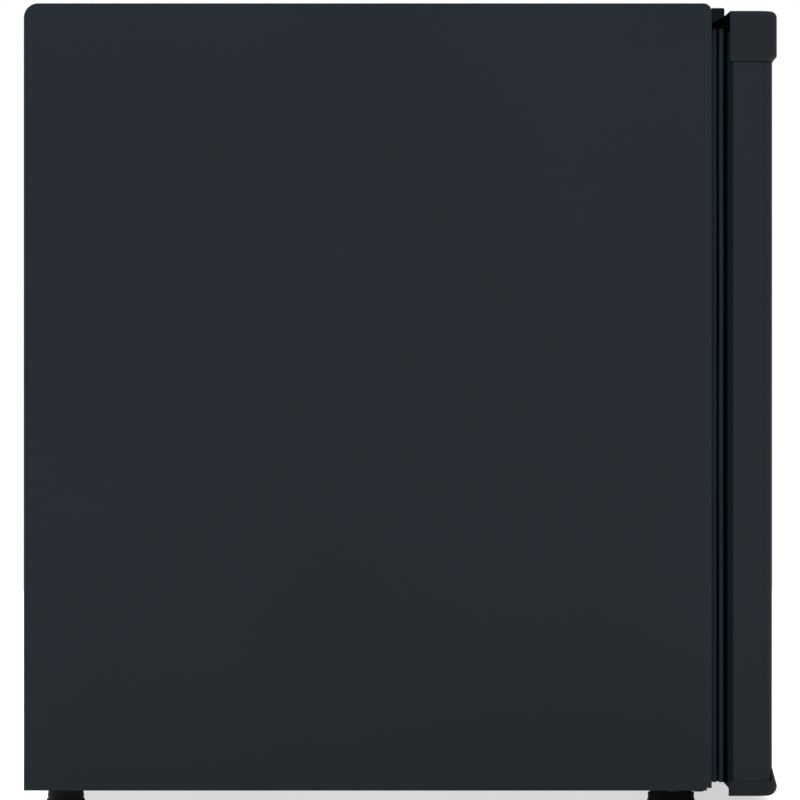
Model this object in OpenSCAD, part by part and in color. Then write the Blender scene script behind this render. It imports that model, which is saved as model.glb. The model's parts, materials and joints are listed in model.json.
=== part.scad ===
// Compact refrigerator with one door, an inner freezer box and a flush back.
// Millimetres, +Z up, front towards -Y, origin on the floor under the middle of the outer box.

/* [Cabinet] */
// Width over the side panels
cabinet_w = 445; // [400:1:540]
// Height of the cabinet without the feet
cabinet_h = 491; // [460:1:620]
// Depth of the cabinet from its front face to its back edge
cabinet_d = 429; // [410:1:520]
// Gap between the floor and the underside of the cabinet
floor_gap = 9; // [8.5:0.5:14]
// Thickness of the painted steel sheet
sheet_t = 0.8; // [0.6:0.1:1]
// Radius of the upper back corner, seen from the side
back_corner_r = 9; // [5:0.5:14]
// Radius of the upper front corner, seen from the side
front_corner_r = 5.2; // [3:0.1:6]
// Foam wall at each side
side_wall = 38; // [34:1:50]
// Foam wall above the cavity
top_wall = 45; // [42:1:55]
// Foam wall below the cavity
floor_wall = 35; // [32:1:45]
// Foam wall behind the cavity
back_wall = 45; // [42:1:60]

/* [Compressor bay] */
// Depth of the bay from the back edge
bay_d = 150; // [142:1:165]
// Height of the bay above the underside of the cabinet
bay_h = 171; // [165:1:190]
// Foam between the bay and the cavity
bay_wall = 27; // [24:1:35]
// Radius of the compressor shell
comp_r = 60; // [52:1:62]
// Height of the compressor shell
comp_h = 122; // [105:1:126]

/* [Door] */
// Thickness of the door from its liner to its face
door_t = 28; // [26:0.5:36]
// Gap between the cabinet and the door that the gasket fills
door_gap = 10; // [9:0.5:13]
// How far the end caps stand proud of the door face
cap_proud = 3; // [2:0.5:5]
// Height of the upper end cap
top_cap_h = 31.8; // [28:0.2:40]
// How far the top of the door lies below the top of the cabinet
door_drop = 4.7; // [4:0.1:8]
// Height of the underside of the door above the floor
door_floor_gap = 5.6; // [5:0.1:6]
// Radius of the upright front edges of the door skin
door_edge_r = 8; // [5:0.5:11]
// How far the gasket lies in from the sides of the door
gasket_inset = 12; // [12:0.5:18]
// Depth of the liner's raised frame
dike_d = 32; // [24:1:40]
// Depth of the door bins behind the liner
bin_d = 92; // [80:1:92]

/* [Hinge] */
// Distance of the hinge axis from the side of the cabinet
axis_inset = 11.5; // [10.5:0.5:12]
// Distance of the hinge axis behind the front of the end caps
axis_depth = 18; // [16:0.5:20]
// Diameter of the hinge pins
pin_d = 6; // [5:0.5:7]
// Radial clearance of a pin in its bushing
pin_fit = 0.05; // [0.02:0.01:0.1]

/* [Inside] */
// Outer height of the freezer box
freezer_h = 94; // [84:1:96]
// Depth of the freezer box
freezer_d = 240; // [200:1:244]
// Sheet of the freezer box
freezer_t = 1.6; // [1.2:0.1:2.5]
// Thickness of the freezer flap
flap_t = 8; // [6:0.5:10]
// Diameter of the frame rods of the wire shelf
shelf_rod_d = 5; // [4:0.5:6]
// Diameter of the cross wires of the shelf
shelf_wire_d = 2.6; // [2:0.1:3.4]
// Number of cross wires in the shelf
shelf_wires = 23; // [15:1:27]
// Radius of the thermostat knob
knob_r = 21; // [16:0.5:23]
// Clearance between pieces that slide on or beside each other
run_gap = 0.3; // [0.3:0.05:0.6]

/* [Feet] */
// Radius of the pads of the front levelling feet
foot_r = 15; // [11:0.5:17]
// Diameter of the threaded stems of the levelling feet
stem_d = 8; // [6:1:10]
// Travel of the levelling feet
foot_travel = 10; // [6:1:10]

/* [Hidden] */
$fn = 64;

over = 1;                                   // how far a cutting shape runs past a face
shell_colour = [0.16, 0.18, 0.20];
cap_colour = [0.165, 0.173, 0.188];
seal_colour = [0.08, 0.14, 0.17];
liner_colour = [0.90, 0.91, 0.91];
steel_colour = [0.72, 0.73, 0.74];
copper_colour = [0.72, 0.42, 0.27];

// Faces of the cabinet
half_w = cabinet_w / 2;
total_d = cabinet_d + door_gap + door_t + cap_proud;
back_y = total_d / 2;
front_y = back_y - cabinet_d;
base_z = floor_gap;
top_z = base_z + cabinet_h;
hem_t = 2 * sheet_t;
hem_w = 8;
flange_w = 20;
rail_t = 1.2;
rail_bottom_d = 34;
rail_top_h = 25;
lip_h = 2.9;
back_lip_h = 18;
notch_d = 3;
notch_h = 1.6;

// Compressor bay
bay_y = back_y - bay_d;
bay_z = base_z + bay_h;
back_panel_z0 = bay_z - 14;

// Cavity
liner_t = 1.5;
cav_x = half_w - side_wall;
cav_z0 = base_z + floor_wall;
cav_z1 = top_z - top_wall;
cav_y1 = back_y - back_wall;
step_y = bay_y - bay_wall;
step_z = bay_z + bay_wall;
rail_bottom_h = floor_wall - 10;

// Door planes, from the back of the door to its front
door_back_y = front_y - door_gap;
door_front_y = door_back_y - door_t;
cap_front_y = door_front_y - cap_proud;
door_z0 = door_floor_gap;
door_z1 = top_z - door_drop;
cap_side = 1;
skin_x = half_w - cap_side;
cap_fit = 0.1;
liner_plate_t = 3;
liner_plate_front = door_back_y - liner_plate_t;
cap_back_y = door_back_y - 1.5;
cap_z0 = door_z1 - top_cap_h;
cap_lid_z = door_z1 - 10.6;
skin_z1 = cap_lid_z - 2.4;
pocket_z = door_z0 + 6.9;
bottom_cap_z1 = door_z0 + 9.2;
flare_z1 = door_z0 + 16.8;
flare_z0 = door_z0 + 6.2;
bottom_edge_r = 5.6;
top_edge_r = 3.4;
cap_chamfer = 3.4;
lip_gap = 0.6;
cheek_t = 2.6;
heel_d = 6;

// Gasket, from the cabinet outwards
gasket_x = half_w - gasket_inset;
gasket_z0 = door_z0 + 8.1;
gasket_z1 = cap_lid_z - 0.1;
gasket_w = 20.5;
gasket_neck = 4.5;
magnet_strip_t = 3.1;
neck_t = 1.6;
base_strip_t = 3;

// Hinge
axis_x = half_w - axis_inset;
axis_y = cap_front_y + axis_depth;
arm_r = axis_depth - 2.5;
notch_gap = 0.5;
notch_x = axis_x - arm_r - notch_gap;
arm_t = 3;
arm_z = cap_lid_z + 1.4;
leaf_t = 2.5;
leaf_x0 = half_w - 59;
leaf_z1 = top_z - 3.4;
lower_arm_t = 2.5;
lower_arm_z1 = base_z;
lower_arm_z0 = lower_arm_z1 - lower_arm_t;
notch_ceiling = lower_arm_z1 + 1.5;
boss_r = 7.5;
boss_h = 15;
bushing_r = 4.6;
bushing_h = 14;
pin_reach = 13;
hinge_screw_r = 2.1;
hinge_screw_x = [leaf_x0 + 9, leaf_x0 + 30];
hinge_screw_z = arm_z + arm_t + 4.6;
lower_screw_y = [front_y + 8, front_y + 24];
lower_screw_x = axis_x - 1;

// Trim along the upper front edge
trim_d = 8;
trim_root_z = top_z - 12.7;
trim_tip_z = top_z - 8;
trim_top_z = top_z - lip_h;

// Freezer box under the ceiling of the cavity
spacer_h = 4;
freezer_x = cav_x - 12.5;
freezer_y0 = front_y + 134;
freezer_y1 = freezer_y0 + freezer_d;
freezer_z1 = cav_z1 - spacer_h;
freezer_z0 = freezer_z1 - freezer_h;
frame_d = 10;
frame_border = 20;
frame_y0 = freezer_y0 - frame_d;
frame_z0 = freezer_z0 - 4;
frame_z1 = cav_z1 - 0.3;
flap_x = cav_x - 20;
flap_y = frame_y0 - 0.5 - flap_t / 2;
flap_z = frame_z1 - 9.5;
flap_lip = 4;
flap_h = flap_z - frame_z0 - 6;
flap_pin_d = 4;
lug_t = 7;
lug_x0 = flap_x + 0.8;

// Drip tray on its ledges
tray_h = 20;
tray_z1 = frame_z0 - 1;
tray_z0 = tray_z1 - tray_h;
tray_rim_x = cav_x - 3.5;
ledge_in = 9.5;
tray_x = cav_x - ledge_in - 2;
tray_y0 = frame_y0 + 2;
tray_y1 = freezer_y1 - 12;
tray_wall = 2;
tray_rim_t = 2.5;
ledge_h = 7;
ledge_z1 = tray_z1 - tray_rim_t - run_gap;

// Wire shelf on the step and on its ledges
shelf_ledge_z1 = step_z;
shelf_z = shelf_ledge_z1 + run_gap + shelf_rod_d / 2;
shelf_x = cav_x - 6;
shelf_y0 = front_y + 97;
shelf_y1 = cav_y1 - 8;
shelf_ledge_w = 11;
stop_rib_w = 9;

// Thermostat on the right wall
stat_d = 28.5;
stat_x = cav_x - stat_d;
stat_y = [front_y + 124, front_y + 224];
stat_z = [shelf_z + 48, shelf_z + 108];
stat_wall = 2;
knob_y = (stat_y[0] + stat_y[1]) / 2;
knob_z = (stat_z[0] + stat_z[1]) / 2;
knob_h = 14;
shaft_d = 6;
switch_x = [stat_x + 8, cav_x - 2.5];
sensor_d = 2.4;
sensor_x = freezer_x + sensor_d / 2 + 0.3;
sensor_y1 = freezer_y1 + 4;

// Door bins between the upright bars of the raised frame
dike_w = 24;
dike_x = cav_x - 8.5;
dike_z0 = cav_z0 + 8;
dike_z1 = cav_z1 - 8;
bin_x = dike_x - dike_w - 0.2;
bin_wall = 2.5;
bin_y0 = door_back_y + 0.3;
bin_y1 = door_back_y + bin_d;
upper_bin_z = [shelf_z + 22, shelf_z + 92];
lower_bin_z = [dike_z0 + dike_w + 1, shelf_z - 60];
upper_guard_h = 40;
lower_guard_h = 50;
bin_cheek_d = 34;

// Feet
foot_x = cav_x - 10;
foot_y = front_y + 28;
foot_pad_h = floor_gap - run_gap;
nut_h = 9;
nut_r = 8;
rear_foot_x = half_w - 35;
rear_foot_y = back_y - 25;
rear_foot_r = 12;

// Compressor and its tubes
plate_z1 = base_z + 12.5;
plate_t = 1.5;
plate_y = [bay_y + 10, back_y - 10];
comp_x = 30;
comp_y = bay_y + bay_d / 2;
comp_z0 = plate_z1 + 7.5;
comp_band_z = comp_z0 + comp_h * 0.45;
comp_foot_x = 62;
comp_foot_y = 40;
comp_foot_t = 3;
grommet_r = 7;
grommet_bore = 3.2;
comp_bolt_r = 3;
chase_x = [144, 166];
chase_y = [back_y - 30, back_y - 17];
chase_mid_y = (chase_y[0] + chase_y[1]) / 2;
suction_x = chase_x[0] + 6;
capillary_x = chase_x[1] - 4;
entry_z = freezer_z0 + 46;
suction_d = 8;
capillary_d = 2.4;
hot_d = 4.8;
hot_bend = 12;
hot_x = half_w - sheet_t - hot_d / 2 - 0.2;
hot_back_y = back_y - 30;
hot_front_y = front_y + 44;
hot_z0 = bay_z - 24;
hot_rows = 4;
hot_first_z = bay_z + 35;
hot_cross_z = top_z - 22;
hot_pitch = (hot_cross_z - 3 * hot_bend - hot_first_z) / hot_rows;
recess_d = hot_d + 0.8;
drier_r = 8;
drier_y = [bay_y + 30, bay_y + 95];
drier_z = bay_z - 60;
drier_x = hot_x - 14;
stub_r = 3.6;
stub_h = 10;
discharge_z = comp_band_z + 20;
discharge_y = hot_back_y - comp_y;
discharge_x = comp_x - sqrt(comp_r * comp_r - discharge_y * discharge_y) - stub_h;
suction_y = comp_y + 10;
suction_z = comp_band_z - 12;
suction_x0 = comp_x + comp_r + stub_h;
gland_x = -half_w + 42;
gland_z = plate_z1 + 25;

function sym(v) = [-v, v];
function unit(v) = v / norm(v);
function bend_cut(a, b, r) = r * tan(acos(a * b) / 2);
function across(v) = abs(v[2]) < 0.9 ? unit(cross([0, 0, 1], v)) : unit(cross([1, 0, 0], v));

// ---- shared shapes ----

// A box between two faces on each axis
module block(x, y, z) {
    translate([x[0], y[0], z[0]])
        cube([x[1] - x[0], y[1] - y[0], z[1] - z[0]]);
}

// An outline drawn in Y and Z, run along X between two faces
module along_x(x) {
    translate([x[0], 0, 0])
        rotate([90, 0, 90])
            linear_extrude(x[1] - x[0])
                children();
}

// An outline drawn in X and Y, run up between two heights
module upright(z) {
    translate([0, 0, z[0]])
        linear_extrude(z[1] - z[0])
            children();
}

// A round bar along X, Y or Z
module bar_x(x, at, r) {
    translate([x[0], at[0], at[1]])
        rotate([0, 90, 0])
            cylinder(r = r, h = x[1] - x[0]);
}

module bar_y(y, at, r) {
    translate([at[0], y[0], at[1]])
        rotate([-90, 0, 0])
            cylinder(r = r, h = y[1] - y[0]);
}

module bar_z(z, at, r) {
    translate([at[0], at[1], z[0]])
        cylinder(r = r, h = z[1] - z[0]);
}

// What a rounding takes off an outline's corner; out points away from the arc's centre
module corner_cut(at, out, r) {
    translate([at[0] - out[0] * r, at[1] - out[1] * r])
        difference() {
            translate([out[0] > 0 ? 0 : -r - over, out[1] > 0 ? 0 : -r - over])
                square(r + over);
            circle(r);
        }
}

// A local frame: its Z axis along w, its X axis along u, at a point
module framed(at, u, w) {
    v = cross(w, u);
    multmatrix([
        [u[0], v[0], w[0], at[0]],
        [u[1], v[1], w[1], at[1]],
        [u[2], v[2], w[2], at[2]],
        [0, 0, 0, 1]])
        children();
}

// A round tube or rod through the points, with one bend radius
module tube(pts, d, bend) {
    last = len(pts) - 1;
    dirs = [for (i = [0:last - 1]) unit(pts[i + 1] - pts[i])];
    cuts = [for (i = [0:last]) (i == 0 || i == last) ? 0 : bend_cut(dirs[i - 1], dirs[i], bend)];
    union() {
        for (i = [0:last - 1]) {
            start = pts[i] + dirs[i] * cuts[i];
            length = norm(pts[i + 1] - pts[i]) - cuts[i] - cuts[i + 1];
            framed(start, across(dirs[i]), dirs[i])
                cylinder(d = d, h = length);
        }
        for (i = [1:1:last - 1]) {
            a = dirs[i - 1];
            b = dirs[i];
            turn = acos(a * b);
            inward = unit(b - a * (a * b));
            centre = pts[i] - a * cuts[i] + inward * bend;
            framed(centre, -inward, cross(-inward, a))
                rotate_extrude(angle = turn)
                    translate([bend, 0])
                        circle(d = d);
        }
    }
}

// ---- cabinet outlines, drawn in Y and Z ----

module cabinet_outline(inset = 0) {
    y0 = front_y + inset;
    y1 = back_y - inset;
    z1 = top_z - inset;
    difference() {
        translate([y0, base_z])
            square([y1 - y0, z1 - base_z]);
        corner_cut([y1, z1], [1, 1], back_corner_r - inset);
        corner_cut([y0, z1], [-1, 1], front_corner_r - inset);
    }
}

// The top sheet: a rolled front lip, the flat top and a turned-down back lip
module top_sheet_outline() {
    difference() {
        cabinet_outline();
        cabinet_outline(sheet_t);
        translate([front_y - over, base_z - over])
            square([cabinet_d / 2, cabinet_h - lip_h + over]);
        translate([front_y + cabinet_d / 4, base_z - over])
            square([cabinet_d, cabinet_h - back_lip_h + over]);
    }
}

// ---- cabinet body ----

module side_panel() {
    color(shell_colour)
    difference() {
        along_x([-half_w, -half_w + flange_w])
            difference() {
                cabinet_outline();
                top_sheet_outline();
                translate([front_y - over, base_z - over])
                    square([over + notch_d, over + notch_h]);
            }
        along_x([-half_w + sheet_t, -half_w + flange_w + over])
            difference() {
                translate([front_y + sheet_t, base_z - over])
                    square([cabinet_d - sheet_t - hem_t, cabinet_h - 2 * sheet_t + over]);
                corner_cut([back_y - hem_t, top_z - 2 * sheet_t], [1, 1], back_corner_r - hem_t);
                corner_cut([front_y + sheet_t, top_z - 2 * sheet_t], [-1, 1], front_corner_r - sheet_t);
            }
        block([-half_w + hem_w, 0], [front_y + sheet_t, back_y + over], [base_z - over, top_z + over]);
        for (i = [0:1])
            bar_y([front_y - over, front_y + 2], [-hinge_screw_x[i], hinge_screw_z], hinge_screw_r + 0.05);
    }
}

module side_panel_left() {
    side_panel();
}

module side_panel_right() {
    mirror([1, 0, 0])
        side_panel();
}

module top_panel() {
    color(shell_colour)
    along_x(sym(half_w))
        top_sheet_outline();
}

back_screws = 4;
back_screw_x = half_w - 18;
back_screw_z = [for (i = [0:back_screws - 1])
    bay_z + 22 + i * (cabinet_h - bay_h - 60) / (back_screws - 1)];

module back_panel() {
    y = back_y - hem_t;
    color(shell_colour)
    difference() {
        block(sym(half_w - sheet_t - 0.1), [y - sheet_t, y], [back_panel_z0, top_z - 8]);
        for (side = [-1, 1], z = back_screw_z)
            bar_y([y - 2, y + over], [side * back_screw_x, z], 1.65);
        block([chase_x[0] - 6, chase_x[1] + 6], [y - 2, y + over], [back_panel_z0 - over, back_panel_z0 + 4]);
    }
}

module back_panel_screws() {
    y = back_y - hem_t;
    color(steel_colour)
    for (side = [-1, 1], z = back_screw_z) {
        bar_y([y, y + 1.4], [side * back_screw_x, z], 3.6);
        bar_y([y - 4, y], [side * back_screw_x, z], 1.6);
    }
}

// Bent sheet under the foam: floor, wall of the bay and ceiling of the bay
module base_pan() {
    color(steel_colour)
    difference() {
        along_x(sym(half_w - sheet_t))
            polygon([
                [front_y + rail_bottom_d, base_z],
                [bay_y, base_z],
                [bay_y, bay_z],
                [back_y - hem_t - sheet_t, bay_z],
                [back_y - hem_t - sheet_t, bay_z + sheet_t],
                [bay_y - sheet_t, bay_z + sheet_t],
                [bay_y - sheet_t, base_z + sheet_t],
                [front_y + rail_bottom_d, base_z + sheet_t]]);
        block(chase_x, chase_y, [bay_z - over, bay_z + 2]);
        for (side = [-1, 1])
            block(side > 0 ? [hot_x - 4, half_w] : [-half_w, -hot_x + 4],
                [hot_back_y - 4, hot_back_y + 4], [bay_z - over, bay_z + 2]);
    }
}

module front_rail_top() {
    color(shell_colour)
    difference() {
        block(sym(half_w - flange_w), [front_y, front_y + rail_t], [top_z - rail_top_h, top_z - lip_h]);
        for (x = hinge_screw_x)
            bar_y([front_y - over, front_y + 2], [x, hinge_screw_z], hinge_screw_r + 0.05);
    }
}

// Steel channel that carries the front feet and the lower hinge
module front_rail_bottom() {
    color(shell_colour)
    difference() {
        union() {
            block(sym(half_w - flange_w), [front_y, front_y + rail_t],
                [base_z + notch_h, base_z + rail_bottom_h]);
            block(sym(half_w - flange_w), [front_y, front_y + notch_d + rail_t],
                [base_z + notch_h, base_z + notch_h + rail_t]);
            block(sym(half_w - flange_w), [front_y + notch_d, front_y + notch_d + rail_t],
                [base_z, base_z + notch_h + rail_t]);
            block(sym(half_w - sheet_t), [front_y + notch_d, front_y + rail_bottom_d],
                [base_z, base_z + rail_t]);
        }
        for (side = [-1, 1])
            bar_z([base_z - over, base_z + 2], [side * foot_x, foot_y - 4], stem_d / 2 + 0.3);
        for (side = [-1, 1], y = lower_screw_y)
            bar_z([base_z - over, base_z + 2], [side * lower_screw_x, y], hinge_screw_r + 0.05);
    }
}

// Moulded strip along the upper front edge, undercut so that the door's lip swings out below it
module top_trim() {
    color(cap_colour)
    along_x([-half_w + 1, leaf_x0 - 0.3])
        polygon([
            [front_y, trim_root_z],
            [front_y, trim_top_z],
            [front_y - trim_d + 0.6, trim_top_z],
            [front_y - trim_d, trim_top_z - 0.6],
            [front_y - trim_d, trim_tip_z]]);
}

module cavity_outline(grow = 0) {
    polygon([
        [front_y - over, cav_z0 - grow],
        [step_y + grow, cav_z0 - grow],
        [step_y + grow, step_z - grow],
        [cav_y1 + grow, step_z - grow],
        [cav_y1 + grow, cav_z1 + grow],
        [front_y - over, cav_z1 + grow]]);
}

// Slot behind the cavity for the suction and capillary tubes
module tube_chase() {
    block(chase_x, chase_y, [bay_z - over, entry_z + 10]);
    block(chase_x, [cav_y1 - over, chase_y[1]], [entry_z - 10, entry_z + 10]);
}

module cabinet_foam() {
    color([0.93, 0.87, 0.68])
    difference() {
        along_x(sym(half_w - sheet_t))
            difference() {
                cabinet_outline(hem_t + 0.05);
                translate([front_y - over, base_z - over])
                    square([over + 1.6, cabinet_h]);
                translate([front_y - over, base_z - over])
                    square([cabinet_d, over + rail_t]);
                translate([front_y - over, base_z - over])
                    square([over + notch_d + rail_t, over + notch_h + rail_t]);
                translate([bay_y - sheet_t, base_z - over])
                    square([bay_d, bay_h + sheet_t + over]);
                translate([back_y - hem_t - sheet_t, base_z])
                    square([over + 2 * hem_t, cabinet_h]);
            }
        along_x(sym(cav_x + liner_t))
            cavity_outline(liner_t);
        tube_chase();
        for (side = [-1, 1]) {
            skin = half_w - sheet_t;
            x = side > 0 ? [skin - recess_d, skin + over] : [-skin - over, -skin + recess_d];
            block(x, [hot_front_y - 6, hot_back_y + 6], [hot_first_z - 6, hot_cross_z + 6]);
            block(x, [hot_back_y - 6, hot_back_y + 6], [bay_z - over, hot_first_z]);
        }
        block(sym(half_w), [hot_front_y - 6, hot_front_y + 6], [hot_cross_z - 6, hot_cross_z + 6]);
        for (side = [-1, 1])
            translate([side * hot_x, hot_front_y, hot_cross_z - hot_bend])
                cube([2 * hot_bend + 8, 12, 2 * hot_bend + 8], center = true);
        for (x = hinge_screw_x)
            bar_y([front_y - over, front_y + 14], [x, hinge_screw_z], 4);
        for (side = [-1, 1])
            bar_z([base_z, base_z + 40], [side * foot_x, foot_y - 4], nut_r + 0.3);
        for (y = lower_screw_y, side = [-1, 1])
            bar_z([base_z, base_z + 16], [side * lower_screw_x, y], 4);
        for (side = [-1, 1], z = back_screw_z)
            bar_y([back_y - 10, back_y], [side * back_screw_x, z], 2.5);
    }
}

// Formed plastic lining with its front flange and the ledges for the tray and the shelf
module inner_liner() {
    color(liner_colour)
    difference() {
        union() {
            intersection() {
                along_x(sym(cav_x + liner_t))
                    cavity_outline(liner_t);
                block(sym(half_w), [front_y, back_y], [0, top_z]);
            }
            block(sym(half_w - flange_w), [front_y, front_y + liner_t],
                [base_z + rail_bottom_h, top_z - rail_top_h]);
        }
        difference() {
            along_x(sym(cav_x))
                cavity_outline();
            for (side = [-1, 1]) {
                wall = side > 0 ? cav_x : -cav_x;
                block([min(wall, wall - side * ledge_in), max(wall, wall - side * ledge_in)],
                    [tray_y0 + 6, tray_y1 - 20], [ledge_z1 - ledge_h, ledge_z1]);
                block([min(wall, wall - side * shelf_ledge_w), max(wall, wall - side * shelf_ledge_w)],
                    [shelf_y0 - 20, step_y + over], [shelf_ledge_z1 - 8, shelf_ledge_z1]);
                block([min(wall, wall - side * stop_rib_w), max(wall, wall - side * stop_rib_w)],
                    [shelf_y0 - 20, cav_y1 + over], [shelf_z + shelf_rod_d + 1, shelf_z + shelf_rod_d + 7]);
            }
        }
        block(chase_x, [cav_y1 - over, cav_y1 + 3], [entry_z - 10, entry_z + 10]);
    }
}

// Roll-bonded aluminium box that is the evaporator
module freezer_box() {
    color([0.78, 0.80, 0.82])
    difference() {
        block(sym(freezer_x), [freezer_y0, freezer_y1], [freezer_z0, freezer_z1]);
        block(sym(freezer_x - freezer_t), [freezer_y0 - over, freezer_y1 - freezer_t],
            [freezer_z0 + freezer_t, freezer_z1 - freezer_t]);
    }
}

module freezer_spacers() {
    color(liner_colour)
    for (side = [-1, 1], y = [freezer_y0 + 30, freezer_y1 - 30])
        bar_z([freezer_z1, cav_z1], [side * (freezer_x - 30), y], 6);
}

module freezer_frame() {
    color([0.93, 0.95, 0.96])
    difference() {
        union() {
            difference() {
                block(sym(cav_x - 0.4), [frame_y0, freezer_y0], [frame_z0, frame_z1]);
                block(sym(cav_x - frame_border), [frame_y0 - over, freezer_y0 + over],
                    [frame_z0 + 11, frame_z1 - 9]);
            }
            for (side = [-1, 1])
                block(side > 0 ? [lug_x0, lug_x0 + lug_t] : [-lug_x0 - lug_t, -lug_x0],
                    [flap_y - 5, frame_y0 + over], [flap_z - 6, flap_z + 6]);
        }
        bar_x(sym(lug_x0 + lug_t + over), [flap_y, flap_z], flap_pin_d / 2 + pin_fit);
    }
}

module thermostat_housing() {
    color(liner_colour)
    difference() {
        block([stat_x, cav_x - 0.1], stat_y, stat_z);
        block([stat_x + stat_wall, cav_x + over], [stat_y[0] + stat_wall, stat_y[1] - stat_wall],
            [stat_z[0] + stat_wall, stat_z[1] - stat_wall]);
        bar_x([stat_x - over, stat_x + 5], [knob_y, knob_z], shaft_d / 2 + 0.5);
        bar_y([stat_y[1] - 4, stat_y[1] + over], [sensor_x, knob_z], sensor_d / 2 + 0.3);
    }
}

module thermostat_switch() {
    color(steel_colour)
    difference() {
        union() {
            block(switch_x, [knob_y - 20, knob_y + 20], [knob_z - 17, knob_z + 17]);
            bar_x([stat_x + stat_wall, switch_x[0] + over], [knob_y, knob_z], 5);
        }
        bar_x([stat_x, switch_x[0] + 7], [knob_y, knob_z], shaft_d / 2 + pin_fit);
    }
}

// Filled tube from the switch to the side of the freezer box
module sensor_tube() {
    color(copper_colour)
    tube([
        [sensor_x, knob_y + 20, knob_z],
        [sensor_x, sensor_y1, knob_z],
        [sensor_x, sensor_y1, freezer_z0 + 50],
        [sensor_x, freezer_y1 - 110, freezer_z0 + 50]], sensor_d, 6);
}

module compressor() {
    color([0.09, 0.09, 0.10])
    translate([comp_x, comp_y, 0])
    difference() {
        union() {
            bar_x([comp_r - 4, suction_x0 - comp_x], [suction_y - comp_y, suction_z], stub_r + 1.6);
            bar_x([discharge_x - comp_x, 0], [discharge_y, discharge_z], stub_r);
            intersection() {
                translate([0, 0, comp_z0])
                    cylinder(r = comp_r, h = comp_h);
                translate([0, 0, comp_z0 + comp_h / 2])
                    sphere(r = comp_r * 1.2);
            }
            translate([0, 0, comp_band_z])
                cylinder(r = comp_r + 2, h = 5);
            block(sym(comp_foot_x + 12), sym(comp_foot_y + 12), [comp_z0 - comp_foot_t, comp_z0 + 0.5]);
            translate([0, 0, comp_z0])
                cylinder(r = comp_r * 0.62, h = 8);
        }
        for (sx = [-1, 1], sy = [-1, 1])
            bar_z([comp_z0 - 8, comp_z0 + 3], [sx * comp_foot_x, sy * comp_foot_y], grommet_r - 2);
    }
}

module compressor_plate() {
    color(steel_colour)
    difference() {
        union() {
            block(sym(half_w - sheet_t), plate_y, [plate_z1 - plate_t, plate_z1]);
            block(sym(half_w - sheet_t), [plate_y[0], plate_y[0] + plate_t], [base_z, plate_z1]);
            block(sym(half_w - sheet_t), [plate_y[1] - plate_t, plate_y[1]], [base_z, plate_z1]);
            block([gland_x - 18, gland_x + 18], [plate_y[1] - plate_t, plate_y[1]],
                [plate_z1 - plate_t, gland_z + 16]);
        }
        for (sx = [-1, 1], sy = [-1, 1])
            bar_z([plate_z1 - 4, plate_z1 + over], [comp_x + sx * comp_foot_x, comp_y + sy * comp_foot_y],
                comp_bolt_r + 0.05);
        bar_y([plate_y[1] - 5, plate_y[1] + over], [gland_x, gland_z], 7);
        for (side = [-1, 1])
            bar_z([plate_z1 - 4, plate_z1 + over], [side * rear_foot_x, rear_foot_y], 3.05);
    }
}

// Rubber mounts, each with a waist in the hole of the compressor's foot
module compressor_grommets() {
    color([0.10, 0.10, 0.10])
    for (sx = [-1, 1], sy = [-1, 1])
        translate([comp_x + sx * comp_foot_x, comp_y + sy * comp_foot_y, 0])
            difference() {
                union() {
                    bar_z([plate_z1, comp_z0 - comp_foot_t], [0, 0], grommet_r);
                    bar_z([comp_z0 - comp_foot_t, comp_z0 + 0.5], [0, 0], grommet_r - 2);
                    bar_z([comp_z0 + 0.5, comp_z0 + 3], [0, 0], grommet_r);
                }
                bar_z([plate_z1 - over, comp_z0 + 4], [0, 0], grommet_bore);
            }
}

module compressor_bolts() {
    color(steel_colour)
    for (sx = [-1, 1], sy = [-1, 1])
        translate([comp_x + sx * comp_foot_x, comp_y + sy * comp_foot_y, 0]) {
            bar_z([plate_z1 - 5, comp_z0 + 7], [0, 0], comp_bolt_r);
            translate([0, 0, comp_z0 + 3])
                cylinder(r = 5.6, h = 4.5, $fn = 6);
        }
}

// Cover over the start relay and the terminals on the side of the shell
module relay_cover() {
    x = comp_x - comp_r;
    color([0.16, 0.16, 0.17])
    difference() {
        block([x - 26, x + 14], [comp_y - 26, comp_y + 26], [comp_band_z + 8, comp_band_z + 54]);
        bar_z([comp_z0, comp_z0 + comp_h], [comp_x, comp_y], comp_r + 0.1);
    }
}

module discharge_tube() {
    color(copper_colour)
    tube([
        [discharge_x, hot_back_y, discharge_z],
        [-hot_x, hot_back_y, discharge_z],
        [-hot_x, hot_back_y, hot_z0]], hot_d, hot_bend);
}

// Hot tube taped to the inside of a side panel, from the bay up to the middle of the roof
module hot_side(side) {
    x = side * hot_x;
    rows = [for (i = [0:hot_rows], end = [0, 1])
        [x, (i + end) % 2 == 0 ? hot_back_y : hot_front_y, hot_first_z + i * hot_pitch]];
    roof = [[x, hot_front_y, hot_cross_z], [0, hot_front_y, hot_cross_z]];
    color(copper_colour)
    tube(concat([[x, hot_back_y, hot_z0]], rows, roof), hot_d, hot_bend);
}

module condenser_left() {
    hot_side(-1);
}

module condenser_right() {
    hot_side(1);
}

module condenser_outlet() {
    color(copper_colour)
    tube([
        [hot_x, hot_back_y, hot_z0],
        [hot_x, hot_back_y, drier_z],
        [drier_x, hot_back_y, drier_z],
        [drier_x, drier_y[1], drier_z]], hot_d, 6);
}

module filter_drier() {
    color(copper_colour)
    union() {
        bar_y([drier_y[0] + 8, drier_y[1] - 8], [drier_x, drier_z], drier_r);
        bar_y(drier_y, [drier_x, drier_z], 4);
    }
}

module capillary_tube() {
    color(copper_colour)
    tube([
        [drier_x, drier_y[0], drier_z],
        [drier_x, drier_y[0] - 12, drier_z],
        [capillary_x, drier_y[0] - 12, drier_z],
        [capillary_x, chase_mid_y, drier_z],
        [capillary_x, chase_mid_y, entry_z],
        [capillary_x, freezer_y1 + 0.1, entry_z]], capillary_d, 5);
}

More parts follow.
